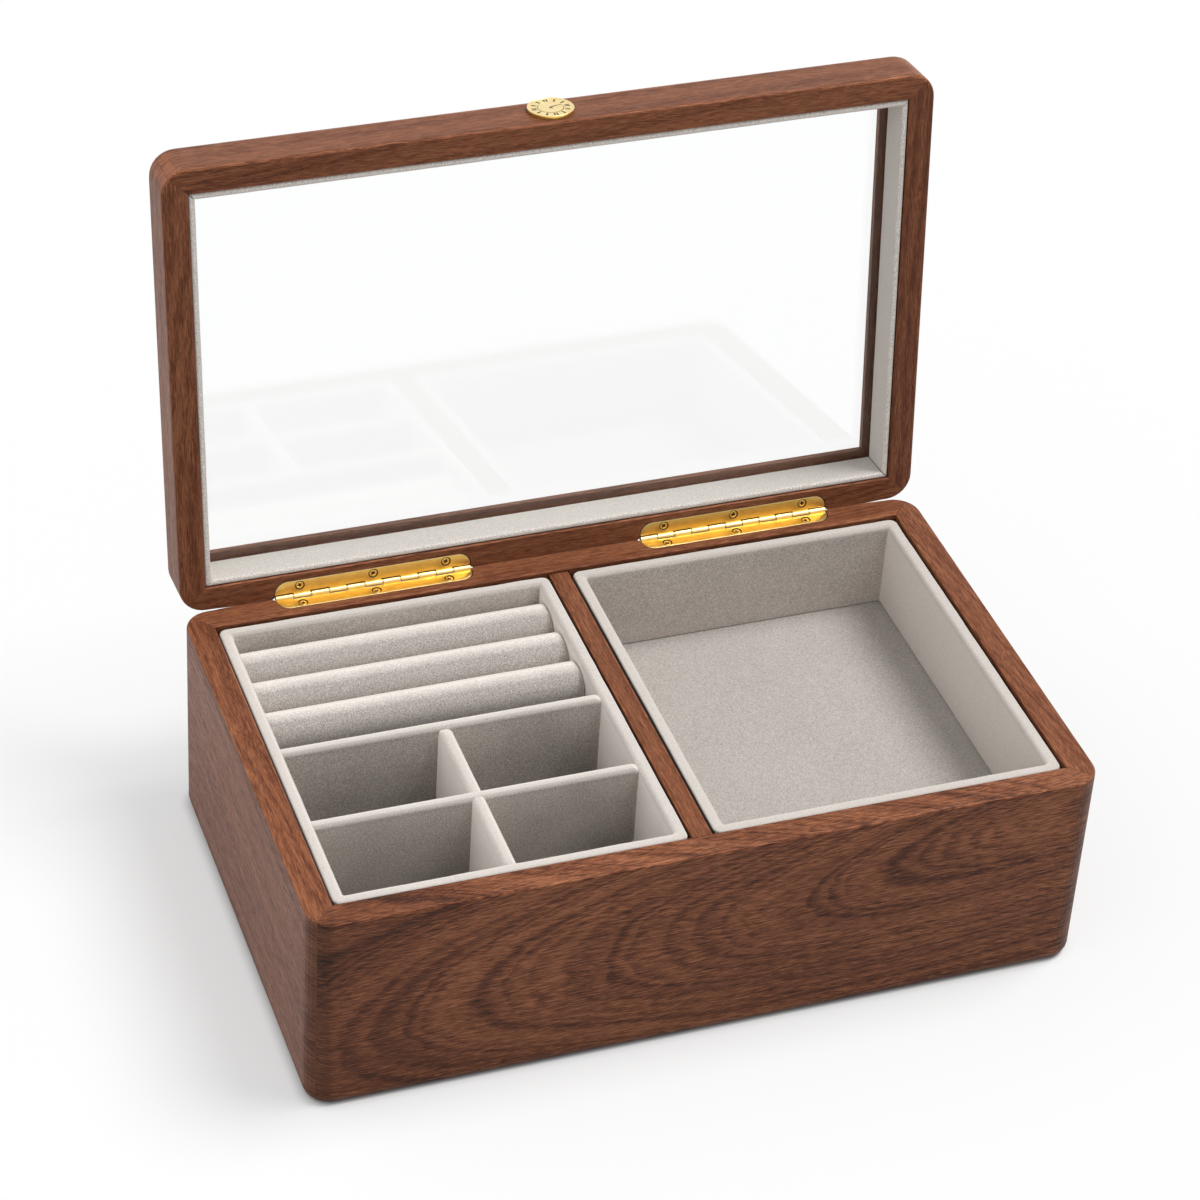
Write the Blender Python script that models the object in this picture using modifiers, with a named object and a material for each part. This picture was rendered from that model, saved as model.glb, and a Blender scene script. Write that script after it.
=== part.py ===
# Walnut jewellery box with a glass lid, two lined trays and a pair of brass hinges.
# Lengths are in metres, +Z is up and the front of the box faces -Y.
# The origin is the middle of the underside, and the lid stands open on its hinges.

import math

import bmesh
import bpy
from mathutils import Matrix, Vector

# Outside of the box
BOX_WIDTH = 0.300
BOX_DEPTH = 0.183
BASE_HEIGHT = 0.087
LID_HEIGHT = 0.022
CORNER_RADIUS = 0.010
FOOT_EDGE_RADIUS = 0.004
RIM_EDGE_RADIUS = 0.001
INNER_EDGE_EASE = 0.0005

# Fits between pieces
SEAT_GAP = 0.0003
MATING_GAP = 0.0003
MITRE_GAP = 0.0002
CUT_OVERRUN = 0.002
SAME_PLACE = 0.000015

# Base
BASE_RAIL = 0.0105
REBATE_WIDTH = 0.004
FELT_THICKNESS = 0.001
PANEL_THICKNESS = 0.004
FLOOR_PAD_THICKNESS = 0.0015
FLOOR_PAD_MARGIN = 0.0006
DIVIDER_THICKNESS = 0.008
DIVIDER_OFFSET = -0.0022
DIVIDER_DROP = 0.0015
DIVIDER_HOUSING = 0.003
DIVIDER_TOP_EASE = 0.0008
LEDGE_WIDTH = 0.005
LEDGE_HEIGHT = 0.008
LEDGE_EASE = 0.0008

# Trays
TRAY_DROP = 0.0031
TRAY_CLEARANCE = 0.0005
TRAY_WALL = 0.005
TRAY_WALL_HEIGHT = 0.035
TRAY_FLOOR = 0.003
TRAY_CORNER_RADIUS = 0.003
PADDED_EDGE_RADIUS = 0.0019
INNER_WALL = 0.005
INNER_WALL_DROP = 0.0004
RING_BAY_DEPTH = 0.068

# Ring rolls
ROLL_COUNT = 3
ROLL_WIDTH = 0.0179
ROLL_PITCH = 0.0184
ROLL_BACK_GAP = 0.0018
ROLL_DROP = 0.0035
ROLL_CROWN_RADIUS = 0.0078
ROLL_END_RADIUS = 0.002

# Lid
LID_RAIL = 0.010
LID_LIP_REACH = 0.0045
LID_LIP_THICKNESS = 0.0033
LID_EDGE_RADIUS = 0.0035
LIP_EDGE_RADIUS = 0.0008
GLASS_THICKNESS = 0.003
GLASS_CLEARANCE = 0.0005
LINER_THICKNESS = 0.0022
LINER_RECESS = 0.0006
LINER_EDGE_RADIUS = 0.0009
OPEN_ANGLE = math.radians(97)

# Hinges
HINGE_LENGTH = 0.078
HINGE_SPACING = 0.148
PIN_INSET = 0.0003
PIN_RADIUS = 0.0007
PIN_CLEARANCE = 0.0002
PIN_END_RECESS = 0.0003
BARREL_RADIUS = 0.0015
KNUCKLE_COUNT = 11
KNUCKLE_GAP = 0.0003
LEAF_REACH = 0.0066
LEAF_THICKNESS = 0.0012
LEAF_FACE_GAP = 0.0002
LEAF_CORNER_RADIUS = 0.0047
LEAF_EDGE_EASE = 0.0002
SCREW_SPACING = 0.0292
SCREW_SETBACK = 0.0043
SCREW_HEAD_RADIUS = 0.0015
SCREW_HEAD_DEPTH = 0.0009
SCREW_SHANK_RADIUS = 0.0007
SCREW_LENGTH = 0.007
SCREW_TIP = 0.0014
SCREW_CLEARANCE = 0.0003
COUNTERSINK_OVERRUN = 0.0005
SCREW_SLOT_WIDTH = 0.0003
SCREW_SLOT_LENGTH = 0.0016
SCREW_SLOT_DEPTH = 0.0004

# Medallion
MEDALLION_RADIUS = 0.0088
MEDALLION_THICKNESS = 0.0014
MEDALLION_RIM = 0.0009
MEDALLION_RIM_RISE = 0.0003
MEDALLION_EDGE_EASE = 0.00035
MEDALLION_SHANK_RADIUS = 0.0015
MEDALLION_SHANK_LENGTH = 0.005
MEDALLION_CENTRE = 0.0103

# Facets in each kind of curve
CORNER_SEGMENTS = 8
EDGE_SEGMENTS = 3
CROWN_SEGMENTS = 7
BARREL_SEGMENTS = 16
SCREW_SEGMENTS = 14
DISC_SEGMENTS = 40

# Places worked out from the sizes
HALF_WIDTH = BOX_WIDTH / 2
HALF_DEPTH = BOX_DEPTH / 2
INNER_X = HALF_WIDTH - BASE_RAIL
INNER_Y = HALF_DEPTH - BASE_RAIL
PANEL_BOTTOM = FELT_THICKNESS + SEAT_GAP
PANEL_TOP = PANEL_BOTTOM + PANEL_THICKNESS
REBATE_TOP = PANEL_TOP + SEAT_GAP
TRAY_TOP = BASE_HEIGHT - TRAY_DROP
TRAY_WALL_BOTTOM = TRAY_TOP - TRAY_WALL_HEIGHT
TRAY_FLOOR_TOP = TRAY_WALL_BOTTOM - SEAT_GAP
TRAY_BOTTOM = TRAY_FLOOR_TOP - TRAY_FLOOR
LEDGE_TOP = TRAY_BOTTOM - SEAT_GAP
LID_BOTTOM = BASE_HEIGHT + MATING_GAP
PIN_Y = HALF_DEPTH - PIN_INSET
PIN_Z = BASE_HEIGHT + MATING_GAP / 2
PIN_POINT = Vector((0, PIN_Y, PIN_Z))

WALNUT = ((0.22, 0.10, 0.055, 1), 0.5, 0)
VELVET = ((0.60, 0.56, 0.51, 1), 0.95, 0)
FELT = ((0.12, 0.09, 0.075, 1), 1, 0)
BRASS = ((0.85, 0.58, 0.16, 1), 0.25, 1)
GLASS = ((0.90, 0.95, 0.94, 1), 0.03, 0)


def clear_scene():
    for item in list(bpy.data.objects):
        bpy.data.objects.remove(item, do_unlink=True)


def new_collection(name):
    collection = bpy.data.collections.new(name)
    bpy.context.scene.collection.children.link(collection)
    return collection


def new_material(name, look):
    colour, roughness, metallic = look
    material = bpy.data.materials.new(name)
    material.use_nodes = True
    shader = material.node_tree.nodes["Principled BSDF"]
    shader.inputs["Base Color"].default_value = colour
    shader.inputs["Roughness"].default_value = roughness
    shader.inputs["Metallic"].default_value = metallic
    material.diffuse_color = colour
    return material


def add_part(name, mesh, look, parent=None):
    part = bpy.data.objects.new(name, mesh)
    parts.objects.link(part)
    part.data.materials.clear()
    part.data.materials.append(new_material(name, look))
    if parent is not None:
        part.parent = parent
    return part


def add_cutter(name, mesh):
    cutter = bpy.data.objects.new(name, mesh)
    cutters.objects.link(cutter)
    cutter.hide_render = True
    cutter.display_type = "WIRE"
    return cutter


def apply_modifiers(item):
    # The object's mesh becomes its own evaluated shape, in its own axes.
    bpy.context.view_layer.update()
    graph = bpy.context.evaluated_depsgraph_get()
    mesh = bpy.data.meshes.new_from_object(item.evaluated_get(graph))
    mesh.name = item.name
    item.modifiers.clear()
    item.data = mesh
    return mesh


def boolean(item, cutter, operation="DIFFERENCE"):
    modifier = item.modifiers.new(cutter.name, "BOOLEAN")
    modifier.operation = operation
    modifier.solver = "EXACT"
    modifier.object = cutter


def box_mesh(name, low, high):
    low, high = Vector(low), Vector(high)
    bm = bmesh.new()
    bmesh.ops.create_cube(bm, size=1)
    bmesh.ops.scale(bm, vec=high - low, verts=bm.verts)
    bmesh.ops.translate(bm, vec=(high + low) / 2, verts=bm.verts)
    mesh = bpy.data.meshes.new(name)
    bm.to_mesh(mesh)
    bm.free()
    return mesh


def bevel_where(mesh, radius, segments, wanted):
    bm = bmesh.new()
    bm.from_mesh(mesh)
    chosen = [edge for edge in bm.edges if wanted(edge.verts[0].co, edge.verts[1].co)]
    bmesh.ops.bevel(bm, geom=chosen, offset=radius, offset_type="OFFSET", segments=segments,
                    profile=0.5, affect="EDGES", clamp_overlap=True)
    bm.to_mesh(mesh)
    bm.free()


def near(a, b):
    return abs(a - b) < SAME_PLACE


def level_edge(height):
    return lambda a, b: near(a.z, height) and near(b.z, height)


def upright_edge(a, b):
    return near(a.x, b.x) and near(a.y, b.y)


def long_edge(height, length):
    # Edges along X at one height, which leaves the short end edges sharp.
    return lambda a, b: near(a.z, height) and near(b.z, height) and abs(a.x - b.x) > length / 2


def keep_side(mesh, point, normal):
    # Cuts the mesh with a plane, drops what lies past it and closes the cut.
    bm = bmesh.new()
    bm.from_mesh(mesh)
    geometry = list(bm.verts) + list(bm.edges) + list(bm.faces)
    bmesh.ops.bisect_plane(bm, geom=geometry, plane_co=point, plane_no=normal, clear_outer=True)
    rim = [edge for edge in bm.edges if edge.is_boundary]
    bmesh.ops.holes_fill(bm, edges=rim, sides=0)
    bmesh.ops.recalc_face_normals(bm, faces=bm.faces)
    bm.to_mesh(mesh)
    bm.free()


def smooth(item):
    item.data.shade_smooth()
    item.data.set_sharp_from_angle(angle=math.radians(35))


def mitred_sides(mesh, centre_x, half_width, half_depth):
    # Splits a rectangular ring into four lengths that meet on the corner diagonals.
    sides = {}
    directions = {"front": (0, -1), "back": (0, 1), "left": (-1, 0), "right": (1, 0)}
    for side, (dx, dy) in directions.items():
        piece = mesh.copy()
        outward = Vector((dx, dy, 0))
        along = Vector((dy, dx, 0))
        for way in (-1, 1):
            corner = Vector((half_width * (dx + way * dy), half_depth * (dy + way * dx), 0))
            normal = (along * way - outward).normalized()
            point = Vector((centre_x, 0, 0)) + corner - normal * MITRE_GAP / 2
            keep_side(piece, point, normal)
        keep_side(piece, Vector((centre_x, 0, 0)), -outward)
        sides[side] = piece
    return sides


def rounded_block(name, low, high, corner, low_edge, high_edge):
    mesh = box_mesh(name, low, high)
    bevel_where(mesh, corner, CORNER_SEGMENTS, upright_edge)
    if low_edge:
        bevel_where(mesh, low_edge, EDGE_SEGMENTS, level_edge(low[2]))
    if high_edge:
        bevel_where(mesh, high_edge, EDGE_SEGMENTS, level_edge(high[2]))
    return mesh


def flared_box(name, half_x, half_y, low, rim, ease):
    # A cutter for a cavity whose top edge is eased at 45 degrees, and whose mouth runs past the rim.
    bm = bmesh.new()
    bmesh.ops.create_cube(bm, size=1)
    bmesh.ops.scale(bm, vec=(2 * half_x, 2 * half_y, rim - ease - low), verts=bm.verts)
    bmesh.ops.translate(bm, vec=(0, 0, (rim - ease + low) / 2), verts=bm.verts)
    bm.faces.ensure_lookup_table()
    top = max(bm.faces, key=lambda face: face.calc_center_median().z)
    raised = bmesh.ops.extrude_discrete_faces(bm, faces=[top])["faces"][0]
    rise = ease + CUT_OVERRUN
    for corner in raised.verts:
        corner.co += Vector((math.copysign(rise, corner.co.x), math.copysign(rise, corner.co.y), rise))
    bm.faces.ensure_lookup_table()
    rims = [edge for edge in bm.edges if edge.is_boundary]
    bmesh.ops.bridge_loops(bm, edges=rims)
    bmesh.ops.recalc_face_normals(bm, faces=bm.faces)
    mesh = bpy.data.meshes.new(name)
    bm.to_mesh(mesh)
    bm.free()
    return mesh


def round_bar(name, radius, start, end, segments):
    # A cylinder along X between two places on one line.
    start, end = Vector(start), Vector(end)
    bm = bmesh.new()
    bmesh.ops.create_cone(bm, cap_ends=True, segments=segments, radius1=radius, radius2=radius,
                          depth=(end - start).length)
    turn = (end - start).to_track_quat("Z", "Y").to_matrix().to_4x4()
    bmesh.ops.transform(bm, matrix=Matrix.Translation((start + end) / 2) @ turn, verts=bm.verts)
    mesh = bpy.data.meshes.new(name)
    bm.to_mesh(mesh)
    bm.free()
    return mesh


def turned(name, profile, segments):
    # Turns a profile of radius and height pairs, listed from the top down, round Z.
    mesh = bpy.data.meshes.new(name)
    bm = bmesh.new()
    points = [bm.verts.new((radius, 0, height)) for radius, height in profile]
    for upper, lower in zip(points, points[1:]):
        bm.edges.new((upper, lower))
    bm.to_mesh(mesh)
    bm.free()
    item = bpy.data.objects.new(name, mesh)
    cutters.objects.link(item)
    modifier = item.modifiers.new("turn", "SCREW")
    modifier.steps = modifier.render_steps = segments
    modifier.use_merge_vertices = True
    modifier.merge_threshold = SAME_PLACE
    result = apply_modifiers(item)
    bpy.data.objects.remove(item, do_unlink=True)
    return result


def joined(name, meshes):
    # One mesh that holds several separate shapes, used as a single cutter.
    bm = bmesh.new()
    for mesh in meshes:
        bm.from_mesh(mesh)
    mesh = bpy.data.meshes.new(name)
    bm.to_mesh(mesh)
    bm.free()
    return mesh


def moved(mesh, matrix):
    copy = mesh.copy()
    copy.transform(matrix)
    return copy


clear_scene()
parts = new_collection("glass_lid_jewelry_box")
cutters = new_collection("cutters")

# The lid's pieces are built shut and hang on this empty at the pins, which then swings them open.
lid_axis = bpy.data.objects.new("lid_axis", None)
parts.objects.link(lid_axis)
lid_axis.location = PIN_POINT
TO_LID = Matrix.Translation(-PIN_POINT)


def add_lid_part(name, mesh, look):
    mesh.transform(TO_LID)
    return add_part(name, mesh, look, lid_axis)


# Hinge places along the back of the box
HINGE_CENTRES = {"left": -HINGE_SPACING / 2, "right": HINGE_SPACING / 2}
LEAF_FRONT = PIN_Y - LEAF_REACH
BARREL_CLEAR = BARREL_RADIUS + SEAT_GAP
SCREW_Y = PIN_Y - SCREW_SETBACK
KNUCKLE_PITCH = (HINGE_LENGTH + KNUCKLE_GAP) / KNUCKLE_COUNT


def leaf_plate(name, centre, grow, low, high):
    # The flat of a leaf: square at the barrel, with rounded outer corners.
    reach = HINGE_LENGTH / 2 + grow
    mesh = box_mesh(name, (centre - reach, LEAF_FRONT - grow, low), (centre + reach, PIN_Y, high))
    corner = LEAF_CORNER_RADIUS + grow
    front = LEAF_FRONT - grow
    bevel_where(mesh, corner, EDGE_SEGMENTS * 2, lambda a, b: upright_edge(a, b) and near(a.y, front))
    return mesh


def hinge_pocket(side, centre, facing):
    # Room in a rail for one leaf and the barrel. Facing is 1 for the base, whose leaf lies below the pin.
    seat = PIN_Z - facing * (LEAF_FACE_GAP + LEAF_THICKNESS + SEAT_GAP)
    mouth = PIN_Z + facing * CUT_OVERRUN
    plate = leaf_plate(side, centre, SEAT_GAP, min(seat, mouth), max(seat, mouth))
    reach = HINGE_LENGTH / 2 + SEAT_GAP
    barrel = round_bar(side, BARREL_CLEAR, (centre - reach, PIN_Y, PIN_Z), (centre + reach, PIN_Y, PIN_Z),
                       BARREL_SEGMENTS)
    label = "base" if facing > 0 else "lid"
    return [add_cutter(f"{label}_{side}_leaf_pocket", plate),
            add_cutter(f"{label}_{side}_barrel_pocket", barrel)]


def screw_places(centre):
    return [centre + step * SCREW_SPACING for step in (-1, 0, 1)]


def screw_pilots(label, facing):
    # Pilot holes in a back rail for the six screws of both hinges.
    radius = SCREW_SHANK_RADIUS + SCREW_CLEARANCE
    depth = SCREW_LENGTH + SEAT_GAP
    holes = []
    for centre in HINGE_CENTRES.values():
        for x in screw_places(centre):
            start = (x, SCREW_Y, PIN_Z)
            end = (x, SCREW_Y, PIN_Z - facing * (LEAF_FACE_GAP + depth))
            holes.append(round_bar(label, radius, start, end, SCREW_SEGMENTS))
    return add_cutter(f"{label}_screw_pilots", joined(label, holes))


# Base rails
def base_rails():
    shell = add_part("base_ring", rounded_block(
        "base_ring", (-HALF_WIDTH, -HALF_DEPTH, 0), (HALF_WIDTH, HALF_DEPTH, BASE_HEIGHT),
        CORNER_RADIUS, FOOT_EDGE_RADIUS, RIM_EDGE_RADIUS), WALNUT)
    cavity = add_cutter("base_cavity", flared_box(
        "base_cavity", INNER_X, INNER_Y, -CUT_OVERRUN, BASE_HEIGHT, INNER_EDGE_EASE))
    rebate = add_cutter("base_rebate", box_mesh(
        "base_rebate", (-INNER_X - REBATE_WIDTH, -INNER_Y - REBATE_WIDTH, -CUT_OVERRUN),
        (INNER_X + REBATE_WIDTH, INNER_Y + REBATE_WIDTH, REBATE_TOP)))
    boolean(shell, cavity)
    boolean(shell, rebate)
    ring = apply_modifiers(shell)
    bpy.data.objects.remove(shell, do_unlink=True)
    rails = {}
    for side, mesh in mitred_sides(ring, 0, HALF_WIDTH, HALF_DEPTH).items():
        rails[side] = add_part(f"base_{side}_rail", mesh, WALNUT)
    half_slot = DIVIDER_THICKNESS / 2 + SEAT_GAP
    slot_end = INNER_Y + DIVIDER_HOUSING
    housing = add_cutter("divider_housing", box_mesh(
        "divider_housing", (DIVIDER_OFFSET - half_slot, -slot_end, REBATE_TOP - CUT_OVERRUN),
        (DIVIDER_OFFSET + half_slot, slot_end, BASE_HEIGHT - DIVIDER_DROP + SEAT_GAP)))
    boolean(rails["front"], housing)
    boolean(rails["back"], housing)
    for side, centre in HINGE_CENTRES.items():
        for pocket in hinge_pocket(side, centre, 1):
            boolean(rails["back"], pocket)
    boolean(rails["back"], screw_pilots("base", 1))
    for rail in rails.values():
        apply_modifiers(rail)
        smooth(rail)


# Bottom panel, the felt under it and the lined pads on it
def base_floor():
    reach_x = INNER_X + REBATE_WIDTH - SEAT_GAP
    reach_y = INNER_Y + REBATE_WIDTH - SEAT_GAP
    add_part("bottom_panel", box_mesh(
        "bottom_panel", (-reach_x, -reach_y, PANEL_BOTTOM), (reach_x, reach_y, PANEL_TOP)), WALNUT)
    add_part("underside_felt", box_mesh(
        "underside_felt", (-reach_x, -reach_y, 0), (reach_x, reach_y, FELT_THICKNESS)), FELT)
    for side, (low_x, high_x) in BAYS.items():
        mesh = box_mesh(f"lower_{side}_floor_pad",
                        (low_x + FLOOR_PAD_MARGIN, -INNER_Y + FLOOR_PAD_MARGIN, PANEL_TOP + SEAT_GAP),
                        (high_x - FLOOR_PAD_MARGIN, INNER_Y - FLOOR_PAD_MARGIN,
                         PANEL_TOP + SEAT_GAP + FLOOR_PAD_THICKNESS))
        add_part(f"lower_{side}_floor_pad", mesh, VELVET)


# The two spaces beside the centre divider, as their least and greatest X
BAYS = {
    "left": (-INNER_X, DIVIDER_OFFSET - DIVIDER_THICKNESS / 2),
    "right": (DIVIDER_OFFSET + DIVIDER_THICKNESS / 2, INNER_X),
}


def centre_divider():
    end = INNER_Y + DIVIDER_HOUSING - SEAT_GAP
    top = BASE_HEIGHT - DIVIDER_DROP
    mesh = box_mesh("centre_divider", (DIVIDER_OFFSET - DIVIDER_THICKNESS / 2, -end, REBATE_TOP),
                    (DIVIDER_OFFSET + DIVIDER_THICKNESS / 2, end, top))
    bevel_where(mesh, DIVIDER_TOP_EASE, 2,
                lambda a, b: level_edge(top)(a, b) and near(a.x, b.x))
    smooth(add_part("centre_divider", mesh, WALNUT))


# Strips under the front and back of each tray
def tray_ledges():
    for side, (low_x, high_x) in BAYS.items():
        for place, way in (("front", -1), ("back", 1)):
            outer = way * (INNER_Y - SEAT_GAP)
            inner = outer - way * LEDGE_WIDTH
            name = f"{place}_{side}_tray_ledge"
            mesh = box_mesh(name, (low_x + SEAT_GAP, min(outer, inner), LEDGE_TOP - LEDGE_HEIGHT),
                            (high_x - SEAT_GAP, max(outer, inner), LEDGE_TOP))
            bevel_where(mesh, LEDGE_EASE, 1,
                        lambda a, b, edge=inner: near(a.y, edge) and near(b.y, edge) and near(a.z, b.z))
            add_part(name, mesh, WALNUT)


def tray_limits(side):
    low_x, high_x = BAYS[side]
    return low_x + TRAY_CLEARANCE, high_x - TRAY_CLEARANCE, INNER_Y - TRAY_CLEARANCE


# A tray: a floor board with four padded walls standing on it
def tray(side):
    low_x, high_x, half_y = tray_limits(side)
    middle = (low_x + high_x) / 2
    half_x = (high_x - low_x) / 2
    name = f"{side}_tray"
    shell = add_part(name, box_mesh(
        name, (low_x, -half_y, TRAY_WALL_BOTTOM), (high_x, half_y, TRAY_TOP)), VELVET)
    bevel_where(shell.data, TRAY_CORNER_RADIUS, EDGE_SEGMENTS, upright_edge)
    hollow = add_cutter(f"{side}_tray_hollow", box_mesh(
        f"{side}_tray_hollow", (low_x + TRAY_WALL, -half_y + TRAY_WALL, TRAY_WALL_BOTTOM - CUT_OVERRUN),
        (high_x - TRAY_WALL, half_y - TRAY_WALL, TRAY_TOP + CUT_OVERRUN)))
    boolean(shell, hollow)
    ring = apply_modifiers(shell)
    bpy.data.objects.remove(shell, do_unlink=True)
    bevel_where(ring, PADDED_EDGE_RADIUS, EDGE_SEGMENTS, level_edge(TRAY_TOP))
    for place, mesh in mitred_sides(ring, middle, half_x, half_y).items():
        smooth(add_part(f"{name}_{place}_wall", mesh, VELVET))
    floor = box_mesh(f"{name}_floor", (low_x, -half_y, TRAY_BOTTOM), (high_x, half_y, TRAY_FLOOR_TOP))
    bevel_where(floor, TRAY_CORNER_RADIUS, EDGE_SEGMENTS, upright_edge)
    smooth(add_part(f"{name}_floor", floor, VELVET))


def padded_wall(name, low, high, across):
    # An inner wall with its two long top edges rounded. Across is true where it runs along X.
    mesh = box_mesh(name, low, high)
    top = high[2]
    bevel_where(mesh, PADDED_EDGE_RADIUS, EDGE_SEGMENTS,
                lambda a, b: level_edge(top)(a, b) and (near(a.y, b.y) if across else near(a.x, b.x)))
    return add_part(name, mesh, VELVET)


# Inner walls of the left tray. The cross divider and the long divider lap over each other.
def left_tray_dividers():
    low_x, high_x, half_y = tray_limits("left")
    low_x += TRAY_WALL + SEAT_GAP
    high_x -= TRAY_WALL + SEAT_GAP
    back = half_y - TRAY_WALL
    front = -back
    top = TRAY_TOP - INNER_WALL_DROP
    bottom = TRAY_FLOOR_TOP + SEAT_GAP
    ring_back = back - RING_BAY_DEPTH
    ring_front = ring_back - INNER_WALL
    smooth(padded_wall("ring_divider", (low_x, ring_front, bottom), (high_x, ring_back, top), True))
    cross_y = (ring_front + front) / 2
    long_x = (low_x + high_x) / 2
    half_wall = INNER_WALL / 2
    lap = (bottom + top) / 2
    cross = padded_wall("cross_divider", (low_x, cross_y - half_wall, bottom),
                        (high_x, cross_y + half_wall, top), True)
    along = padded_wall("long_divider", (long_x - half_wall, front + SEAT_GAP, bottom),
                        (long_x + half_wall, ring_front - SEAT_GAP, top), False)
    slot = half_wall + SEAT_GAP
    cross_slot = add_cutter("cross_divider_slot", box_mesh(
        "cross_divider_slot", (long_x - slot, cross_y - INNER_WALL, bottom - CUT_OVERRUN),
        (long_x + slot, cross_y + INNER_WALL, lap + SEAT_GAP / 2)))
    long_slot = add_cutter("long_divider_slot", box_mesh(
        "long_divider_slot", (long_x - INNER_WALL, cross_y - slot, lap - SEAT_GAP / 2),
        (long_x + INNER_WALL, cross_y + slot, top + CUT_OVERRUN)))
    boolean(cross, cross_slot)
    boolean(along, long_slot)
    for wall in (cross, along):
        apply_modifiers(wall)
        smooth(wall)


# Padded rolls that grip rings between them
def ring_rolls():
    low_x, high_x, half_y = tray_limits("left")
    low_x += TRAY_WALL + SEAT_GAP
    high_x -= TRAY_WALL + SEAT_GAP
    back = half_y - TRAY_WALL - ROLL_BACK_GAP
    bottom = TRAY_FLOOR_TOP + SEAT_GAP
    top = TRAY_TOP - ROLL_DROP
    for count in range(ROLL_COUNT):
        high_y = back - count * ROLL_PITCH
        low_y = high_y - ROLL_WIDTH
        name = f"ring_roll_{count + 1}"
        mesh = box_mesh(name, (low_x, low_y, bottom), (high_x, high_y, top))
        crown = min(ROLL_CROWN_RADIUS, ROLL_WIDTH / 2 - SAME_PLACE)
        bevel_where(mesh, crown, CROWN_SEGMENTS, long_edge(top, high_x - low_x))
        bevel_where(mesh, ROLL_END_RADIUS, 2,
                    lambda a, b: near(a.x, b.x) and (near(a.x, low_x) or near(a.x, high_x))
                    and max(a.z, b.z) > bottom + SEAT_GAP)
        smooth(add_part(name, mesh, VELVET))


# Lid rails, with a lip that the glass lies against
LIP_BOTTOM = LID_BOTTOM + LID_HEIGHT - LID_LIP_THICKNESS
LID_INNER_X = HALF_WIDTH - LID_RAIL
LID_INNER_Y = HALF_DEPTH - LID_RAIL
GLASS_TOP = LIP_BOTTOM - SEAT_GAP
GLASS_BOTTOM = GLASS_TOP - GLASS_THICKNESS


def edge_inside(height, reach_x, reach_y):
    # Edges at one height that lie within a rectangle round the middle of the box.
    return lambda a, b: (level_edge(height)(a, b)
                         and max(abs(a.x), abs(b.x)) < reach_x + SEAT_GAP
                         and max(abs(a.y), abs(b.y)) < reach_y + SEAT_GAP)


def lid_rails():
    top = LID_BOTTOM + LID_HEIGHT
    shell = add_part("lid_ring", rounded_block(
        "lid_ring", (-HALF_WIDTH, -HALF_DEPTH, LID_BOTTOM), (HALF_WIDTH, HALF_DEPTH, top),
        CORNER_RADIUS, RIM_EDGE_RADIUS, LID_EDGE_RADIUS), WALNUT)
    recess = add_cutter("lid_recess", box_mesh(
        "lid_recess", (-LID_INNER_X, -LID_INNER_Y, LID_BOTTOM - CUT_OVERRUN),
        (LID_INNER_X, LID_INNER_Y, LIP_BOTTOM)))
    window_x = LID_INNER_X - LID_LIP_REACH
    window_y = LID_INNER_Y - LID_LIP_REACH
    window = add_cutter("lid_window", box_mesh(
        "lid_window", (-window_x, -window_y, LID_BOTTOM - CUT_OVERRUN),
        (window_x, window_y, top + CUT_OVERRUN)))
    boolean(shell, recess)
    boolean(shell, window)
    ring = apply_modifiers(shell)
    bpy.data.objects.remove(shell, do_unlink=True)
    bevel_where(ring, INNER_EDGE_EASE, 1, edge_inside(LID_BOTTOM, LID_INNER_X, LID_INNER_Y))
    bevel_where(ring, LIP_EDGE_RADIUS, 2, edge_inside(top, window_x, window_y))
    rails = {}
    for side, mesh in mitred_sides(ring, 0, HALF_WIDTH, HALF_DEPTH).items():
        rails[side] = add_part(f"lid_{side}_rail", mesh, WALNUT)
    for side, centre in HINGE_CENTRES.items():
        for pocket in hinge_pocket(side, centre, -1):
            boolean(rails["back"], pocket)
    boolean(rails["back"], screw_pilots("lid", -1))
    socket = round_bar("medallion_socket", MEDALLION_SHANK_RADIUS + SEAT_GAP,
                       (0, -HALF_DEPTH - CUT_OVERRUN, LID_BOTTOM + MEDALLION_CENTRE),
                       (0, -HALF_DEPTH + MEDALLION_SHANK_LENGTH + SEAT_GAP, LID_BOTTOM + MEDALLION_CENTRE),
                       BARREL_SEGMENTS)
    boolean(rails["front"], add_cutter("medallion_socket", socket))
    for rail in rails.values():
        apply_modifiers(rail).transform(TO_LID)
        rail.parent = lid_axis
        smooth(rail)


def lid_glass():
    reach_x = LID_INNER_X - GLASS_CLEARANCE
    reach_y = LID_INNER_Y - GLASS_CLEARANCE
    add_lid_part("lid_glass", box_mesh(
        "lid_glass", (-reach_x, -reach_y, GLASS_BOTTOM), (reach_x, reach_y, GLASS_TOP)), GLASS)


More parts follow.
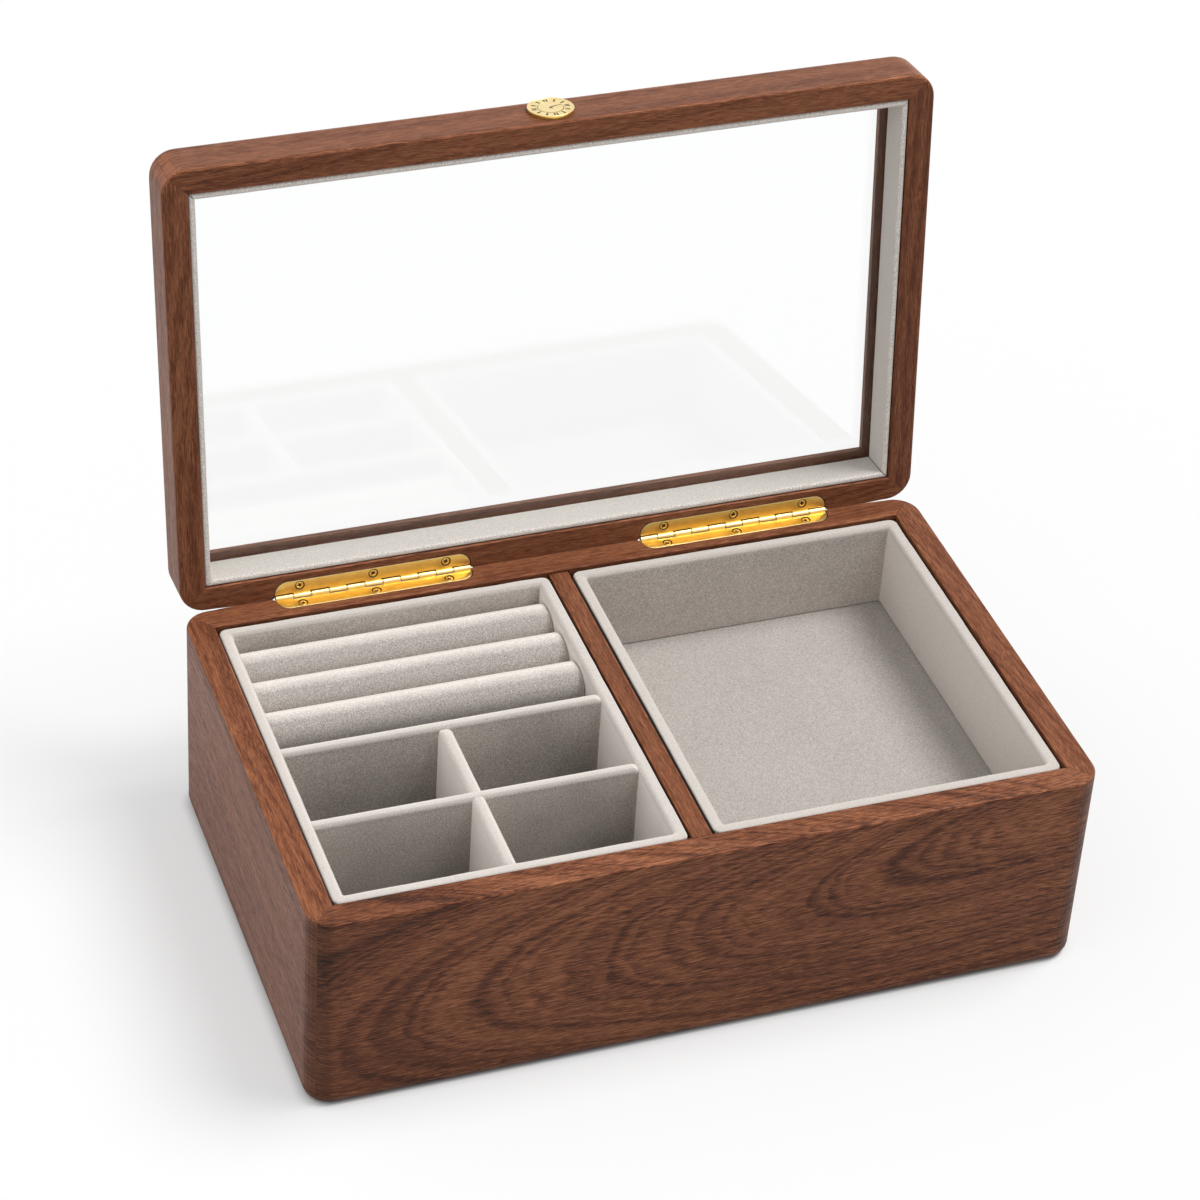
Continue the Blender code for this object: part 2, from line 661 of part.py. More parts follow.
# Padded strips round the inside of the lid, which hold the glass against the lip
def lid_liners():
    reach_x = LID_INNER_X - SEAT_GAP
    reach_y = LID_INNER_Y - SEAT_GAP
    low = LID_BOTTOM + LINER_RECESS
    high = GLASS_BOTTOM - SEAT_GAP
    shell = add_part("liner_ring", box_mesh(
        "liner_ring", (-reach_x, -reach_y, low), (reach_x, reach_y, high)), VELVET)
    hollow = add_cutter("liner_hollow", box_mesh(
        "liner_hollow", (-reach_x + LINER_THICKNESS, -reach_y + LINER_THICKNESS, low - CUT_OVERRUN),
        (reach_x - LINER_THICKNESS, reach_y - LINER_THICKNESS, high + CUT_OVERRUN)))
    boolean(shell, hollow)
    ring = apply_modifiers(shell)
    bpy.data.objects.remove(shell, do_unlink=True)
    bevel_where(ring, LINER_EDGE_RADIUS, EDGE_SEGMENTS, level_edge(low))
    for side, mesh in mitred_sides(ring, 0, reach_x, reach_y).items():
        smooth(add_lid_part(f"lid_{side}_liner", mesh, VELVET))


# Hinge leaves: a plate and a full barrel, notched where the other leaf's knuckles turn
def hinge_leaf(side, centre, facing):
    label = "base" if facing > 0 else "lid"
    name = f"{side}_hinge_{label}_leaf"
    near_face = PIN_Z - facing * LEAF_FACE_GAP
    far_face = near_face - facing * LEAF_THICKNESS
    plate = leaf_plate(name, centre, 0, min(near_face, far_face), max(near_face, far_face))
    leaf = add_part(name, plate, BRASS)
    bevel_where(plate, LEAF_EDGE_EASE, 1,
                lambda a, b: level_edge(near_face)(a, b) and not (near(a.y, PIN_Y) and near(b.y, PIN_Y)))
    half = HINGE_LENGTH / 2
    barrel = add_cutter(f"{name}_barrel", round_bar(
        name, BARREL_RADIUS, (centre - half, PIN_Y, PIN_Z), (centre + half, PIN_Y, PIN_Z), BARREL_SEGMENTS))
    bore = add_cutter(f"{name}_bore", round_bar(
        name, PIN_RADIUS + PIN_CLEARANCE, (centre - half - CUT_OVERRUN, PIN_Y, PIN_Z),
        (centre + half + CUT_OVERRUN, PIN_Y, PIN_Z), BARREL_SEGMENTS))
    first = 1 if facing > 0 else 0
    notches = []
    for index in range(first, KNUCKLE_COUNT, 2):
        start = centre - half + index * KNUCKLE_PITCH - KNUCKLE_GAP
        end = start + KNUCKLE_PITCH + KNUCKLE_GAP
        if index == 0:
            start -= CUT_OVERRUN
        if index == KNUCKLE_COUNT - 1:
            end += CUT_OVERRUN
        notches.append(box_mesh(name, (start, PIN_Y - BARREL_CLEAR, PIN_Z - BARREL_CLEAR),
                                (end, PIN_Y + BARREL_CLEAR, PIN_Z + BARREL_CLEAR)))
    notch = add_cutter(f"{name}_notches", joined(name, notches))
    boolean(leaf, barrel, "UNION")
    boolean(leaf, notch)
    boolean(leaf, bore)
    boolean(leaf, countersinks(name, centre, facing))
    mesh = apply_modifiers(leaf)
    if facing < 0:
        mesh.transform(TO_LID)
        leaf.parent = lid_axis
    smooth(leaf)


def screw_frame(x, facing):
    # A screw's own axes: its head is at the leaf's face and its shank runs into the rail.
    turn = Matrix.Identity(4) if facing > 0 else Matrix.Rotation(math.pi, 4, "X")
    return Matrix.Translation((x, SCREW_Y, PIN_Z - facing * LEAF_FACE_GAP)) @ turn


def countersinks(name, centre, facing):
    head = SCREW_HEAD_RADIUS + SCREW_CLEARANCE
    shank = SCREW_SHANK_RADIUS + SCREW_CLEARANCE
    slope = (head - shank) / SCREW_HEAD_DEPTH
    mouth = head + slope * COUNTERSINK_OVERRUN
    profile = [(0, CUT_OVERRUN), (mouth, CUT_OVERRUN), (mouth, COUNTERSINK_OVERRUN),
               (shank, -SCREW_HEAD_DEPTH), (shank, -LEAF_THICKNESS - CUT_OVERRUN),
               (0, -LEAF_THICKNESS - CUT_OVERRUN)]
    hole = turned(name, profile, SCREW_SEGMENTS)
    holes = [moved(hole, screw_frame(x, facing)) for x in screw_places(centre)]
    return add_cutter(f"{name}_countersinks", joined(name, holes))


def hinge_pin(side, centre):
    half = HINGE_LENGTH / 2 - PIN_END_RECESS
    name = f"{side}_hinge_pin"
    mesh = round_bar(name, PIN_RADIUS, (centre - half, PIN_Y, PIN_Z), (centre + half, PIN_Y, PIN_Z),
                     BARREL_SEGMENTS)
    smooth(add_part(name, mesh, BRASS))


# Countersunk wood screws with a cross recess
def screw_mesh():
    head = add_cutter("screw_blank", turned("screw_blank", [
        (0, 0), (SCREW_HEAD_RADIUS, 0), (SCREW_SHANK_RADIUS, -SCREW_HEAD_DEPTH),
        (SCREW_SHANK_RADIUS, -SCREW_LENGTH + SCREW_TIP), (0, -SCREW_LENGTH)], SCREW_SEGMENTS))
    half_long = SCREW_SLOT_LENGTH / 2
    half_wide = SCREW_SLOT_WIDTH / 2
    reaches = {"slot_across": (half_long, half_wide), "slot_along": (half_wide, half_long)}
    for name, (reach_x, reach_y) in reaches.items():
        slot = add_cutter(name, box_mesh(name, (-reach_x, -reach_y, -SCREW_SLOT_DEPTH),
                                         (reach_x, reach_y, CUT_OVERRUN)))
        boolean(head, slot)
    mesh = apply_modifiers(head)
    bpy.data.objects.remove(head, do_unlink=True)
    return mesh


def hinge_screws(mesh):
    for side, centre in HINGE_CENTRES.items():
        for number, x in enumerate(screw_places(centre), start=1):
            base = add_part(f"{side}_hinge_base_screw_{number}", mesh.copy(), BRASS)
            base.matrix_world = screw_frame(x, 1)
            smooth(base)
            lid = add_part(f"{side}_hinge_lid_screw_{number}", mesh.copy(), BRASS, lid_axis)
            lid.matrix_local = TO_LID @ screw_frame(x, -1)
            smooth(lid)


# Medallion on the front edge of the lid: a dished disc with a raised rim and a shank
def medallion():
    face = MEDALLION_THICKNESS - MEDALLION_RIM_RISE
    profile = [(0, face), (MEDALLION_RADIUS - MEDALLION_RIM - MEDALLION_RIM_RISE, face),
               (MEDALLION_RADIUS - MEDALLION_RIM, MEDALLION_THICKNESS),
               (MEDALLION_RADIUS - MEDALLION_EDGE_EASE, MEDALLION_THICKNESS),
               (MEDALLION_RADIUS, MEDALLION_THICKNESS - MEDALLION_EDGE_EASE), (MEDALLION_RADIUS, 0),
               (MEDALLION_SHANK_RADIUS, 0), (MEDALLION_SHANK_RADIUS, -MEDALLION_SHANK_LENGTH + SEAT_GAP),
               (0, -MEDALLION_SHANK_LENGTH + SEAT_GAP)]
    mesh = turned("lid_medallion", profile, DISC_SEGMENTS)
    facing = Matrix.Rotation(math.pi / 2, 4, "X")
    place = Matrix.Translation((0, -HALF_DEPTH - SEAT_GAP, LID_BOTTOM + MEDALLION_CENTRE))
    mesh.transform(place @ facing)
    smooth(add_lid_part("lid_medallion", mesh, BRASS))


base_rails()
base_floor()
centre_divider()
tray_ledges()
tray("left")
tray("right")
left_tray_dividers()
ring_rolls()
lid_rails()
lid_glass()
lid_liners()
for hinge_side, hinge_centre in HINGE_CENTRES.items():
    hinge_leaf(hinge_side, hinge_centre, 1)
    hinge_leaf(hinge_side, hinge_centre, -1)
    hinge_pin(hinge_side, hinge_centre)
hinge_screws(screw_mesh())
medallion()

# The lid swings back on its pins to where the hinges stop it.
lid_axis.rotation_euler = (-OPEN_ANGLE, 0, 0)
bpy.context.view_layer.update()
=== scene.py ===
import math

import bmesh
import bpy
from mathutils import Euler, Matrix, Vector, noise


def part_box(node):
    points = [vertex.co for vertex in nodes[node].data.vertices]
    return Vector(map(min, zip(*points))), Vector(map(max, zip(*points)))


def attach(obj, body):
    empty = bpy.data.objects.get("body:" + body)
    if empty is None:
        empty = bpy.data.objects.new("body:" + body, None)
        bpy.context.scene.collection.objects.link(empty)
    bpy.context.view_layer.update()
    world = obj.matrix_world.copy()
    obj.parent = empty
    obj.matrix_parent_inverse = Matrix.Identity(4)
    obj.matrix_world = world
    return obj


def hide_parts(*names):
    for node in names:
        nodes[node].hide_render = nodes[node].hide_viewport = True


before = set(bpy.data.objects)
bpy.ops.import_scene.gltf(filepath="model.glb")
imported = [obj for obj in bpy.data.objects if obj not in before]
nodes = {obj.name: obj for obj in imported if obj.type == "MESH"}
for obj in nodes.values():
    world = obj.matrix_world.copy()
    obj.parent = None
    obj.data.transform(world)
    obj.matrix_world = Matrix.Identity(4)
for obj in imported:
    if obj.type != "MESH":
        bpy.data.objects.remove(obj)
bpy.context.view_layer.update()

scene = bpy.context.scene
mm = 0.001
print("frame loaded:", len(nodes), "nodes")

# The lid is drawn shut, then swung open about the hinge pins as the frame holds it.
lidSwing = {"pinY": 91.2 * mm, "pinZ": 87.15 * mm, "angle": 97.0}
pinLine = Vector((0, lidSwing["pinY"], lidSwing["pinZ"]))
openLid = (
    Matrix.Translation(pinLine)
    @ Matrix.Rotation(-math.radians(lidSwing["angle"]), 4, "X")
    @ Matrix.Translation(-pinLine)
)
shutLid = openLid.inverted()

cameraLooks = {
    "place": (-0.420606, -1.028253, 0.976419),
    "turn": (53.50921, -2.54653, -18.39976),  # degrees
    "lens": 114.6921,
    "film": 36.0,  # mm
    "shift": (0.05, -0.05),
    "clip": (0.02, 50.0),  # metres
}


def makeCamera():
    looks = cameraLooks
    data = bpy.data.cameras.new("photoCamera")
    data.lens, data.sensor_width = looks["lens"], looks["film"]
    data.shift_x, data.shift_y = looks["shift"]
    data.clip_start, data.clip_end = looks["clip"]
    camera = bpy.data.objects.new("photoCamera", data)
    camera.location = looks["place"]
    camera.rotation_euler = Euler([math.radians(a) for a in looks["turn"]], "XYZ")
    scene.collection.objects.link(camera)
    scene.camera = camera


class Field:
    # what one output of a node gives, so that sums of them can be written as sums
    def __init__(self, tree, socket):
        self.tree, self.socket = tree, socket

    def math(self, operation, *others, clamp=False):
        values = dict(enumerate((self, *others)))
        return give(self.tree, "Math", values, operation=operation, use_clamp=clamp)

    def vector(self, operation, *others, **named):
        output = "Value" if operation in ("LENGTH", "DOT_PRODUCT") else 0
        values = {**dict(enumerate((self, *others))), **named}
        return give(self.tree, "VectorMath", values, output, operation=operation)

    def __add__(self, other):
        return self.math("ADD", other)

    def __sub__(self, other):
        return self.math("SUBTRACT", other)

    def __mul__(self, other):
        return self.math("MULTIPLY", other)

    def __abs__(self):
        return self.math("ABSOLUTE")

    def spread(self, low, high, toLow=0.0, toHigh=1.0, kind="LINEAR"):
        ends = {"From Min": low, "From Max": high, "To Min": toLow, "To Max": toHigh}
        return give(self.tree, "MapRange", {"Value": self, **ends}, interpolation_type=kind)

    def ease(self, low, high, toLow=0.0, toHigh=1.0):
        return self.spread(low, high, toLow, toHigh, "SMOOTHSTEP")

    def swung(self, by):
        # 0 to 1 becomes -by to by
        return self * (2 * by) - by

    def scaled(self, by):
        return self.vector("SCALE", Scale=by)

    def split(self):
        made = addNode(self.tree, "SeparateXYZ", {0: self})
        return [Field(self.tree, socket) for socket in made.outputs]


def addNode(tree, kind, values=None, **settings):
    made = tree.nodes.new("ShaderNode" + kind)
    for key, value in settings.items():
        setattr(made, key, value)
    for key, value in (values or {}).items():
        socket = made.inputs[key]
        if isinstance(value, Field):
            tree.links.new(value.socket, socket)
        else:
            socket.default_value = (*value[:3], 1.0) if socket.type == "RGBA" else value
    return made


def give(tree, kind, values=None, output=0, **settings):
    return Field(tree, addNode(tree, kind, values, **settings).outputs[output])


def placeOf(tree, kind="Object"):
    return give(tree, "TexCoord", output=kind)


def joined(x, y, z):
    return give(x.tree, "CombineXYZ", {0: x, 1: y, 2: z})


def reachOf(a, b):
    return (a * a + b * b).math("SQRT")


def mixColour(factor, first, second):
    colours = {0: factor, 6: first, 7: second}
    return give(factor.tree, "Mix", colours, 2, data_type="RGBA", clamp_factor=True)


def mixShaders(factor, first, second):
    return give(factor.tree, "MixShader", {0: factor, 1: first, 2: second})


def cloud(place, scale, detail, roughness, seed):
    values = {"Vector": place, "W": seed, "Scale": scale, "Detail": detail, "Roughness": roughness}
    return give(place.tree, "TexNoise", values, noise_dimensions="4D")


def emptyTree(owner):
    owner.use_nodes = True
    owner.node_tree.nodes.clear()
    return owner.node_tree


def newMaterial(name):
    material = bpy.data.materials.new(name)
    return material, emptyTree(material)


def coat(colour, roughness, bump, more=None):
    # bump holds how strong it is, how deep in metres, and the height
    tree = colour.tree
    bump = give(tree, "Bump", dict(zip(("Strength", "Distance", "Height"), bump)))
    values = {"Base Color": colour, "Roughness": roughness, "Normal": bump, **(more or {})}
    addNode(tree, "OutputMaterial", {"Surface": give(tree, "BsdfPrincipled", values)})


lightLooks = {
    "floor": (0.55, 0.55, 0.55),
    "floorGlow": (0.01, 0.50, 0.68),  # the share of the pale floor that shadows don't reach; it is least near the box, so shadows near it are painted deeper and those further off painted paler
    "glowAt": (0.0012, 0.008, 0.114),  # the distances from the box where it is so, metres
    "floorShade": 0.80,
    "footprint": (0.14, 0.0815, 0.0),  # the middles of its corners, metres
    "foot": 0.006,  # the radius of its corners, metres
    "paintedFootShadow": (0.0035, 0.10),  # how far the painted shadow line at the foot of the box reaches, and how light it is
    "dim": (0.004, 0.039, 0.25),  # near the box the floor throws less light on it: from, to, share
    "surround": 0.31,  # how bright the room is on the object
    "background": (0.96, 0.96, 0.96), "glow": (0.985, 0.985, 0.985),
    # pale walls: where, and how bright
    "fills": (((-0.96, 0.10, 0.28), 0.78), ((0.16, -0.95, 0.20), 0.24)),
    "sunPower": 2.62,
    "sunFrom": (0.50, -0.02, 1.0),
    "sunSpread": 30.0,  # degrees, so that shadows are soft
}


def directlySeen(tree):
    # 1 for what the camera sees, also by way of glass or brass, and 0 for light on the object
    rays = addNode(tree, "LightPath").outputs
    seen = Field(tree, rays["Is Camera Ray"]).math("MAXIMUM", Field(tree, rays["Is Glossy Ray"]))
    seen = seen.math("MAXIMUM", Field(tree, rays["Is Transmission Ray"]))
    return seen * Field(tree, rays["Diffuse Depth"]).math("LESS_THAN", 0.5)


def makeWorld():
    looks = lightLooks
    world = bpy.data.worlds.new("studio")
    scene.world = world
    tree = emptyTree(world)
    way = placeOf(tree, "Generated")
    total = looks["surround"]
    for fillFrom, strength in looks["fills"]:
        side = way.vector("DOT_PRODUCT", Vector(fillFrom).normalized())
        total = side.ease(0.2, 1.0, 0.0, strength) + total
    room = give(tree, "Background", {"Color": (1, 1, 1), "Strength": total})
    white = give(tree, "Background", {"Color": looks["background"], "Strength": 1.0})
    addNode(tree, "OutputWorld", {"Surface": mixShaders(directlySeen(tree), room, white)})


def makeSun():
    looks = lightLooks
    sun = bpy.data.lights.new("softKey", "SUN")
    sun.energy = looks["sunPower"]
    sun.angle = math.radians(looks["sunSpread"])
    lamp = bpy.data.objects.new("softKey", sun)
    lamp.rotation_euler = Vector(looks["sunFrom"]).to_track_quat("Z", "Y").to_euler()
    scene.collection.objects.link(lamp)


def floorMaterial():
    looks = lightLooks
    material, tree = newMaterial("paleFloor")
    apart = placeOf(tree).vector("ABSOLUTE")
    apart = apart.vector("SUBTRACT", looks["footprint"]).vector("MAXIMUM", (0, 0, 0))
    apart = apart.vector("LENGTH") - looks["foot"]
    at, glows, shade = looks["glowAt"], looks["floorGlow"], looks["floorShade"]
    # painted shadow: a dark line on the floor round the foot of the box
    footShadowColour = apart.ease(0.0, looks["paintedFootShadow"][0], shade * looks["paintedFootShadow"][1], shade)
    shaded = give(tree, "BsdfDiffuse", {"Color": footShadowColour})
    # less glow near the box paints its shadows deeper
    lit = apart.ease(at[0], at[1], glows[0], glows[1])
    lit = lit + apart.spread(at[1], at[2], 0.0, glows[2] - glows[1])
    start, end, least = looks["dim"]
    dim = apart.ease(start, end, least, 1.0)
    colour = give(tree, "VectorMath", {0: looks["floor"], "Scale": dim}, operation="SCALE")
    matt = give(tree, "BsdfDiffuse", {"Color": colour})
    glow = give(tree, "Emission", {"Color": looks["glow"], "Strength": 1.0})
    pale = mixShaders(lit, shaded, glow)
    addNode(tree, "OutputMaterial", {"Surface": mixShaders(directlySeen(tree), matt, pale)})
    return material


def makeFloor(reach=4.0, under=0.0002):
    mesh = bpy.data.meshes.new("studioFloor")
    corners = ((-1, -1), (1, -1), (1, 1), (-1, 1))
    mesh.from_pydata([(x * reach, y * reach, 0) for x, y in corners], [], [(0, 1, 2, 3)])
    mesh.materials.append(floorMaterial())
    floor = bpy.data.objects.new("studioFloor", mesh)
    floor.location.z = -under
    scene.collection.objects.link(floor)


makeCamera()
makeWorld()
makeSun()
makeFloor()
scene.view_settings.view_transform = "Standard"
print("camera, light and floor made")

walnutLooks = {
    "light": (0.300, 0.116, 0.054),
    "mid": (0.142, 0.0445, 0.0192),
    "midAt": 0.42,
    "dark": (0.038, 0.012, 0.006),
    "pore": (0.020, 0.007, 0.004),
    "ringWidth": 2.4,  # mm
    "wander": 12.0, "wave": 1.2, "quiver": 0.25,  # how far the rings stray, slowly to quickly, mm
    "waving": 9.0,  # how far the fibres stray, mm
    # how much each part of the figure darkens the wood, and where it starts
    "late": 0.12, "lateFibres": 0.30, "bands": 0.14, "fibres": 0.34, "fineFibres": 0.40,
    "start": -0.17, "shade": 0.12,
    "roughness": 0.42,
    "contrast": 0.68,  # of the figure; the front board has more
    "pores": 0.30,
    "edge": 1.6,  # how much lighter the painted highlight makes the eased edges
    "top": 0.25,  # the share of that painted highlight on the rim tops
    "corner": 0.34,  # how much painted shade darkens the upright corners
    "centre": (140.0, 81.5), "radius": 10.0,  # of the corners, mm
    "bump": (0.45, 0.00015),
}
# For each board: the way its grain runs, where the heart of the log lies (across and into the
# board, mm), how fast the board leans away from it, in its depth and across, and how light it is.
boardLooks = {
    "base_front_rail": ("x", (50.0, -51.5), 0.20, 0.18, -0.05),
    "base_back_rail": ("x", (30, 140), -0.05, 0.03, 0.03),
    "base_left_rail": ("y", (190, -180), 0.03, 0.02, 0.09),
    "base_right_rail": ("y", (60, 190), 0.12, 0.05, 0.07),
    "lid_front_rail": ("x", (160, -130), 0.02, 0.02, 0.05),
    "lid_back_rail": ("x", (20, 140), 0.03, 0.03, 0.05),
    "lid_left_rail": ("y", (150, -160), 0.03, 0.02, 0.05),
    "lid_right_rail": ("y", (40, 170), -0.04, 0.03, 0.05),
    "centre_divider": ("y", (120, 30), 0.02, 0.03, 0.02),
    "bottom_panel": ("flat", (40, -60), 0.04, 0.03, 0.05),
    "front_left_tray_ledge": ("x", (80, 40), 0.0, 0.0, 0.1),
    "back_left_tray_ledge": ("x", (80, 60), 0.0, 0.0, 0.1),
    "front_right_tray_ledge": ("x", (90, 30), 0.0, 0.0, 0.1),
    "back_right_tray_ledge": ("x", (90, 50), 0.0, 0.0, 0.1),
}
# Two of them differ more. Painted shade darkens an end: from where (mm), to where, and by how much.
boardMore = {
    "base_front_rail": {"contrast": 1.15, "pores": 0.5, "end": (-60, -145, 0.17)},
    "base_left_rail": {"end": (-50, -88, 0.13)},
}


def grainSpace(tree, name, along):
    # the place along, across and into the board, and how far it is round an upright corner
    place = placeOf(tree)
    normal = give(tree, "NewGeometry", output="Normal")
    if name.startswith("lid_"):  # back to where the lid lies when shut
        angle = math.radians(lidSwing["angle"])
        shift = pinLine - Matrix.Rotation(angle, 3, "X") @ pinLine
        normal = {"Vector": normal, "Rotation": (angle, 0, 0)}
        place = {"Vector": place, "Rotation": (angle, 0, 0), "Location": shift}
        normal = give(tree, "Mapping", normal, vector_type="VECTOR")
        place = give(tree, "Mapping", place, vector_type="POINT")
    x, y, z = place.scaled(1 / mm).split()
    if along == "flat":
        return x, y, z, 0.0
    ways, centre = ((x, y), (y, x))[along == "y"], walnutLooks["centre"]
    centre = centre if along == "x" else centre[::-1]
    past = [(abs(way) - start).math("MAXIMUM", 0.0) for way, start in zip(ways, centre)]
    angle = past[0].math("ARCTAN2", past[1])
    upright = abs(normal.split()[2]).ease(0.75, 0.50)
    upright = upright * past[1].math("GREATER_THAN", 0.01)
    more = (angle * walnutLooks["radius"] - past[0], reachOf(*past) - past[1])
    length, depth = (m * upright * way.math("SIGN") + way for m, way in zip(more, ways))
    return length, z, depth, angle * upright


def paintedEdgeHighlight(tree, fibres):
    # a painted highlight: the eased edges are painted a little lighter, broken by the fibres; flat
    # faces and upright corners are not
    x, y, z = give(tree, "NewGeometry", output="Normal").split()
    most = abs(x).math("MAXIMUM", abs(y)).math("MAXIMUM", abs(z))
    edges = most.ease(0.985, 0.90) * abs(z).ease(0.10, 0.30)
    return edges * fibres.spread(0.0, 1.0, 1.0, 0.45), z


def walnutMaterial(name, seed, along, heart, lean, sweep, tone, more):
    looks = {**walnutLooks, **more}
    material, tree = newMaterial("walnut_" + name)
    length, across, depth, angle = grainSpace(tree, name, along)
    slow = joined(length * 0.30, across, depth)
    # distance from the heart of the log gives the rings
    wander = cloud(slow, 0.020, 1.0, 0.5, seed * 7.1).swung(looks["wander"])
    wave = cloud(slow, 0.12, 2.0, 0.5, seed * 3.7).swung(looks["wave"])
    quiver = cloud(slow, 0.45, 2.0, 0.6, seed * 5.3).swung(looks["quiver"])
    aside = across - heart[0] + length * -sweep + wander
    below = depth - heart[1] + length * lean + wave
    count = (reachOf(aside, below) + quiver).math("DIVIDE", looks["ringWidth"])
    drift = {"W": count + seed * 11.0, "Scale": 0.31, "Detail": 1.0}
    drift = give(tree, "TexNoise", drift, noise_dimensions="1D")
    year = (drift * 3.0 + count).math("FRACT")
    late = year.ease(0.15, 0.80) * year.ease(1.0, 0.80)
    late = late * drift.spread(0.35, 0.62, 0.30, 1.0)
    bands = drift.ease(0.32, 0.68)
    # fibres and pores run along the board
    waved = cloud(slow, 0.055, 2.0, 0.5, seed + 31) * looks["waving"] + across
    fibreSpace = joined(length * 0.060, waved, depth)
    fibres = cloud(fibreSpace, 2.2, 3.0, 0.75, seed).spread(0.39, 0.61)
    fineFibres = cloud(fibreSpace, 3.8, 2.0, 0.6, seed + 4).spread(0.38, 0.62)
    pores = cloud(joined(length * 0.085, waved, depth), 2.4, 1.0, 0.6, seed + 9)
    crowd = late * -0.06 + 0.595  # more of them where a ring is dark
    pores = (pores - crowd).ease(0.0, 0.05)
    shade = cloud(slow, 0.018, 2.0, 0.5, seed + 20)
    shade = shade.spread(0.3, 0.7, -looks["shade"], looks["shade"])

    amount = late * (fibres * looks["lateFibres"] + looks["late"]) + bands * looks["bands"]
    amount = amount + fibres * looks["fibres"] + fineFibres * looks["fineFibres"]
    amount = amount + shade + looks["start"]
    # painted shade toward one end of the board
    if "end" in looks:
        start, end, paintedEndShade = looks["end"]
        amount = amount + length.ease(start, end, toHigh=paintedEndShade)
    amount = amount * looks["contrast"] + (0.40 * (1 - looks["contrast"]) - tone)
    ramp = addNode(tree, "ValToRGB", {"Fac": amount})
    stops = ramp.color_ramp.elements
    stops.new(looks["midAt"])
    for stop, tint in zip(stops, ("light", "mid", "dark")):
        stop.color = (*looks[tint], 1)
    colour = mixColour(pores * looks["pores"], Field(tree, ramp.outputs[0]), looks["pore"])
    # painted highlight on the eased edges, and on the tops of the base rim
    paintedHighlight, upward = paintedEdgeHighlight(tree, fibres)
    if name.startswith("base_"):
        paintedHighlight = paintedHighlight + upward.spread(0.90, 0.98, 0.0, looks["top"])
        # painted shade on the rounded upright corners of the base
        corner = angle.ease(0.0, 0.40) * angle.ease(1.35, 0.95)
        colour = colour.scaled(corner * -looks["corner"] + 1.0)
    colour = mixColour(paintedHighlight, colour, colour.scaled(looks["edge"]))
    rough = fibres.swung(0.05) + looks["roughness"] + pores * 0.12
    coat(colour, rough, (*looks["bump"], fineFibres * 0.4 - pores), {"Specular IOR Level": 0.15})
    return material


def dress(node, material):
    data = nodes[node].data
    data.materials.clear()
    data.materials.append(material)


for seed, (board, looks) in enumerate(boardLooks.items(), 1):
    dress(board, walnutMaterial(board, float(seed), *looks, boardMore.get(board, {})))
print("walnut boards dressed")


def share(value, low, high):
    # how far value has come from low to high, kept within 0 and 1
    return max(0.0, min(1.0, (value - low) / (high - low)))


def turns(count):
    return [math.tau * k / count for k in range(count)]


def circle(radius, count):
    return [(radius * math.cos(a), radius * math.sin(a)) for a in turns(count)]


def arcPoints(centre, radius, start, end, steps=6):
    angles = [math.radians(start + (end - start) * k / steps) for k in range(steps + 1)]
    return [(centre[0] + radius * math.cos(a), centre[1] + radius * math.sin(a)) for a in angles]


def quarterTurn(steps):
    # rounds an edge of radius 1, from (0, 1) to (1, 0)
    return arcPoints((1, 1), 1.0, 180, 270, steps)


def addLoft(shape, rings, closed=False, caps=False, slot=0):
    # joins rings of points, one to the next; slot is a material's number, or gives it by the step
    made = [[shape.verts.new(p) for p in ring] for ring in rings]
    for step, (lower, upper) in enumerate(zip(made, made[1:] + made[:1] if closed else made[1:])):
        for k in range(len(lower)):
            j = (k + 1) % len(lower)
            face = shape.faces.new((lower[k], lower[j], upper[j], upper[k]))
            face.material_index = slot(step) if callable(slot) else slot
    if caps:
        for ring in (made[0], made[-1]):
            shape.faces.new(ring).material_index = 0 if callable(slot) else slot
    return made


def lofted(rings, closed=False):
    shape = bmesh.new()
    addLoft(shape, rings, closed, not closed)
    return shape


def newObject(name, shape, materials, turn=None):
    bmesh.ops.recalc_face_normals(shape, faces=shape.faces)
    if turn:
        bmesh.ops.transform(shape, matrix=turn, verts=shape.verts)
    mesh = bpy.data.meshes.new(name)
    shape.to_mesh(mesh)
    shape.free()
    for material in materials:
        mesh.materials.append(material)
    made = bpy.data.objects.new(name, mesh)
    scene.collection.objects.link(made)
    return made


def finishPiece(name, shape, body, materials, stands=(), sharp=40.0):
    # what rides with the lid is drawn shut, and swung open here
    piece = newObject(name, shape, materials, openLid if body == "lid" else None)
    for face in piece.data.polygons:
        face.use_smooth = True
    piece.data.set_sharp_from_angle(angle=math.radians(sharp))
    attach(piece, body)
    if stands:
        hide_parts(*stands)
    return piece


glueLooks = {
    "colour": (0.100, 0.035, 0.017), "fleck": (0.13, 0.055, 0.03),
    "wide": 0.19 * mm,
    "back": 0.02,  # how far it stays behind the surface, mm
}


def glueMaterial():
    material, tree = newMaterial("glueLine")
    specks = cloud(placeOf(tree), 900.0, 2.0, 0.6, 3.0)
    colour = mixColour(specks, glueLooks["colour"], glueLooks["fleck"])
    coat(colour, 0.6, (0.3, 0.00005, specks), {"Specular IOR Level": 0.2})
    return material


def mitreStrip(name, body, signX, signY):
    # the section holds (distance out along the mitre, height) in mm
    section = glueSections[body]
    out = Vector((signX, signY, 0)).normalized()
    aside = Vector((-out.y, out.x, 0)) * glueLooks["wide"] / 2
    inner = Vector((signX * section["inner"][0], signY * section["inner"][1], 0)) * mm
    rings = [
        [inner + out * far * mm + Vector((0, 0, high * mm)) + aside * way
         for far, high in section["outline"]]
        for way in (-1, 1)
    ]
    finishPiece(name, lofted(rings), body, [glue])


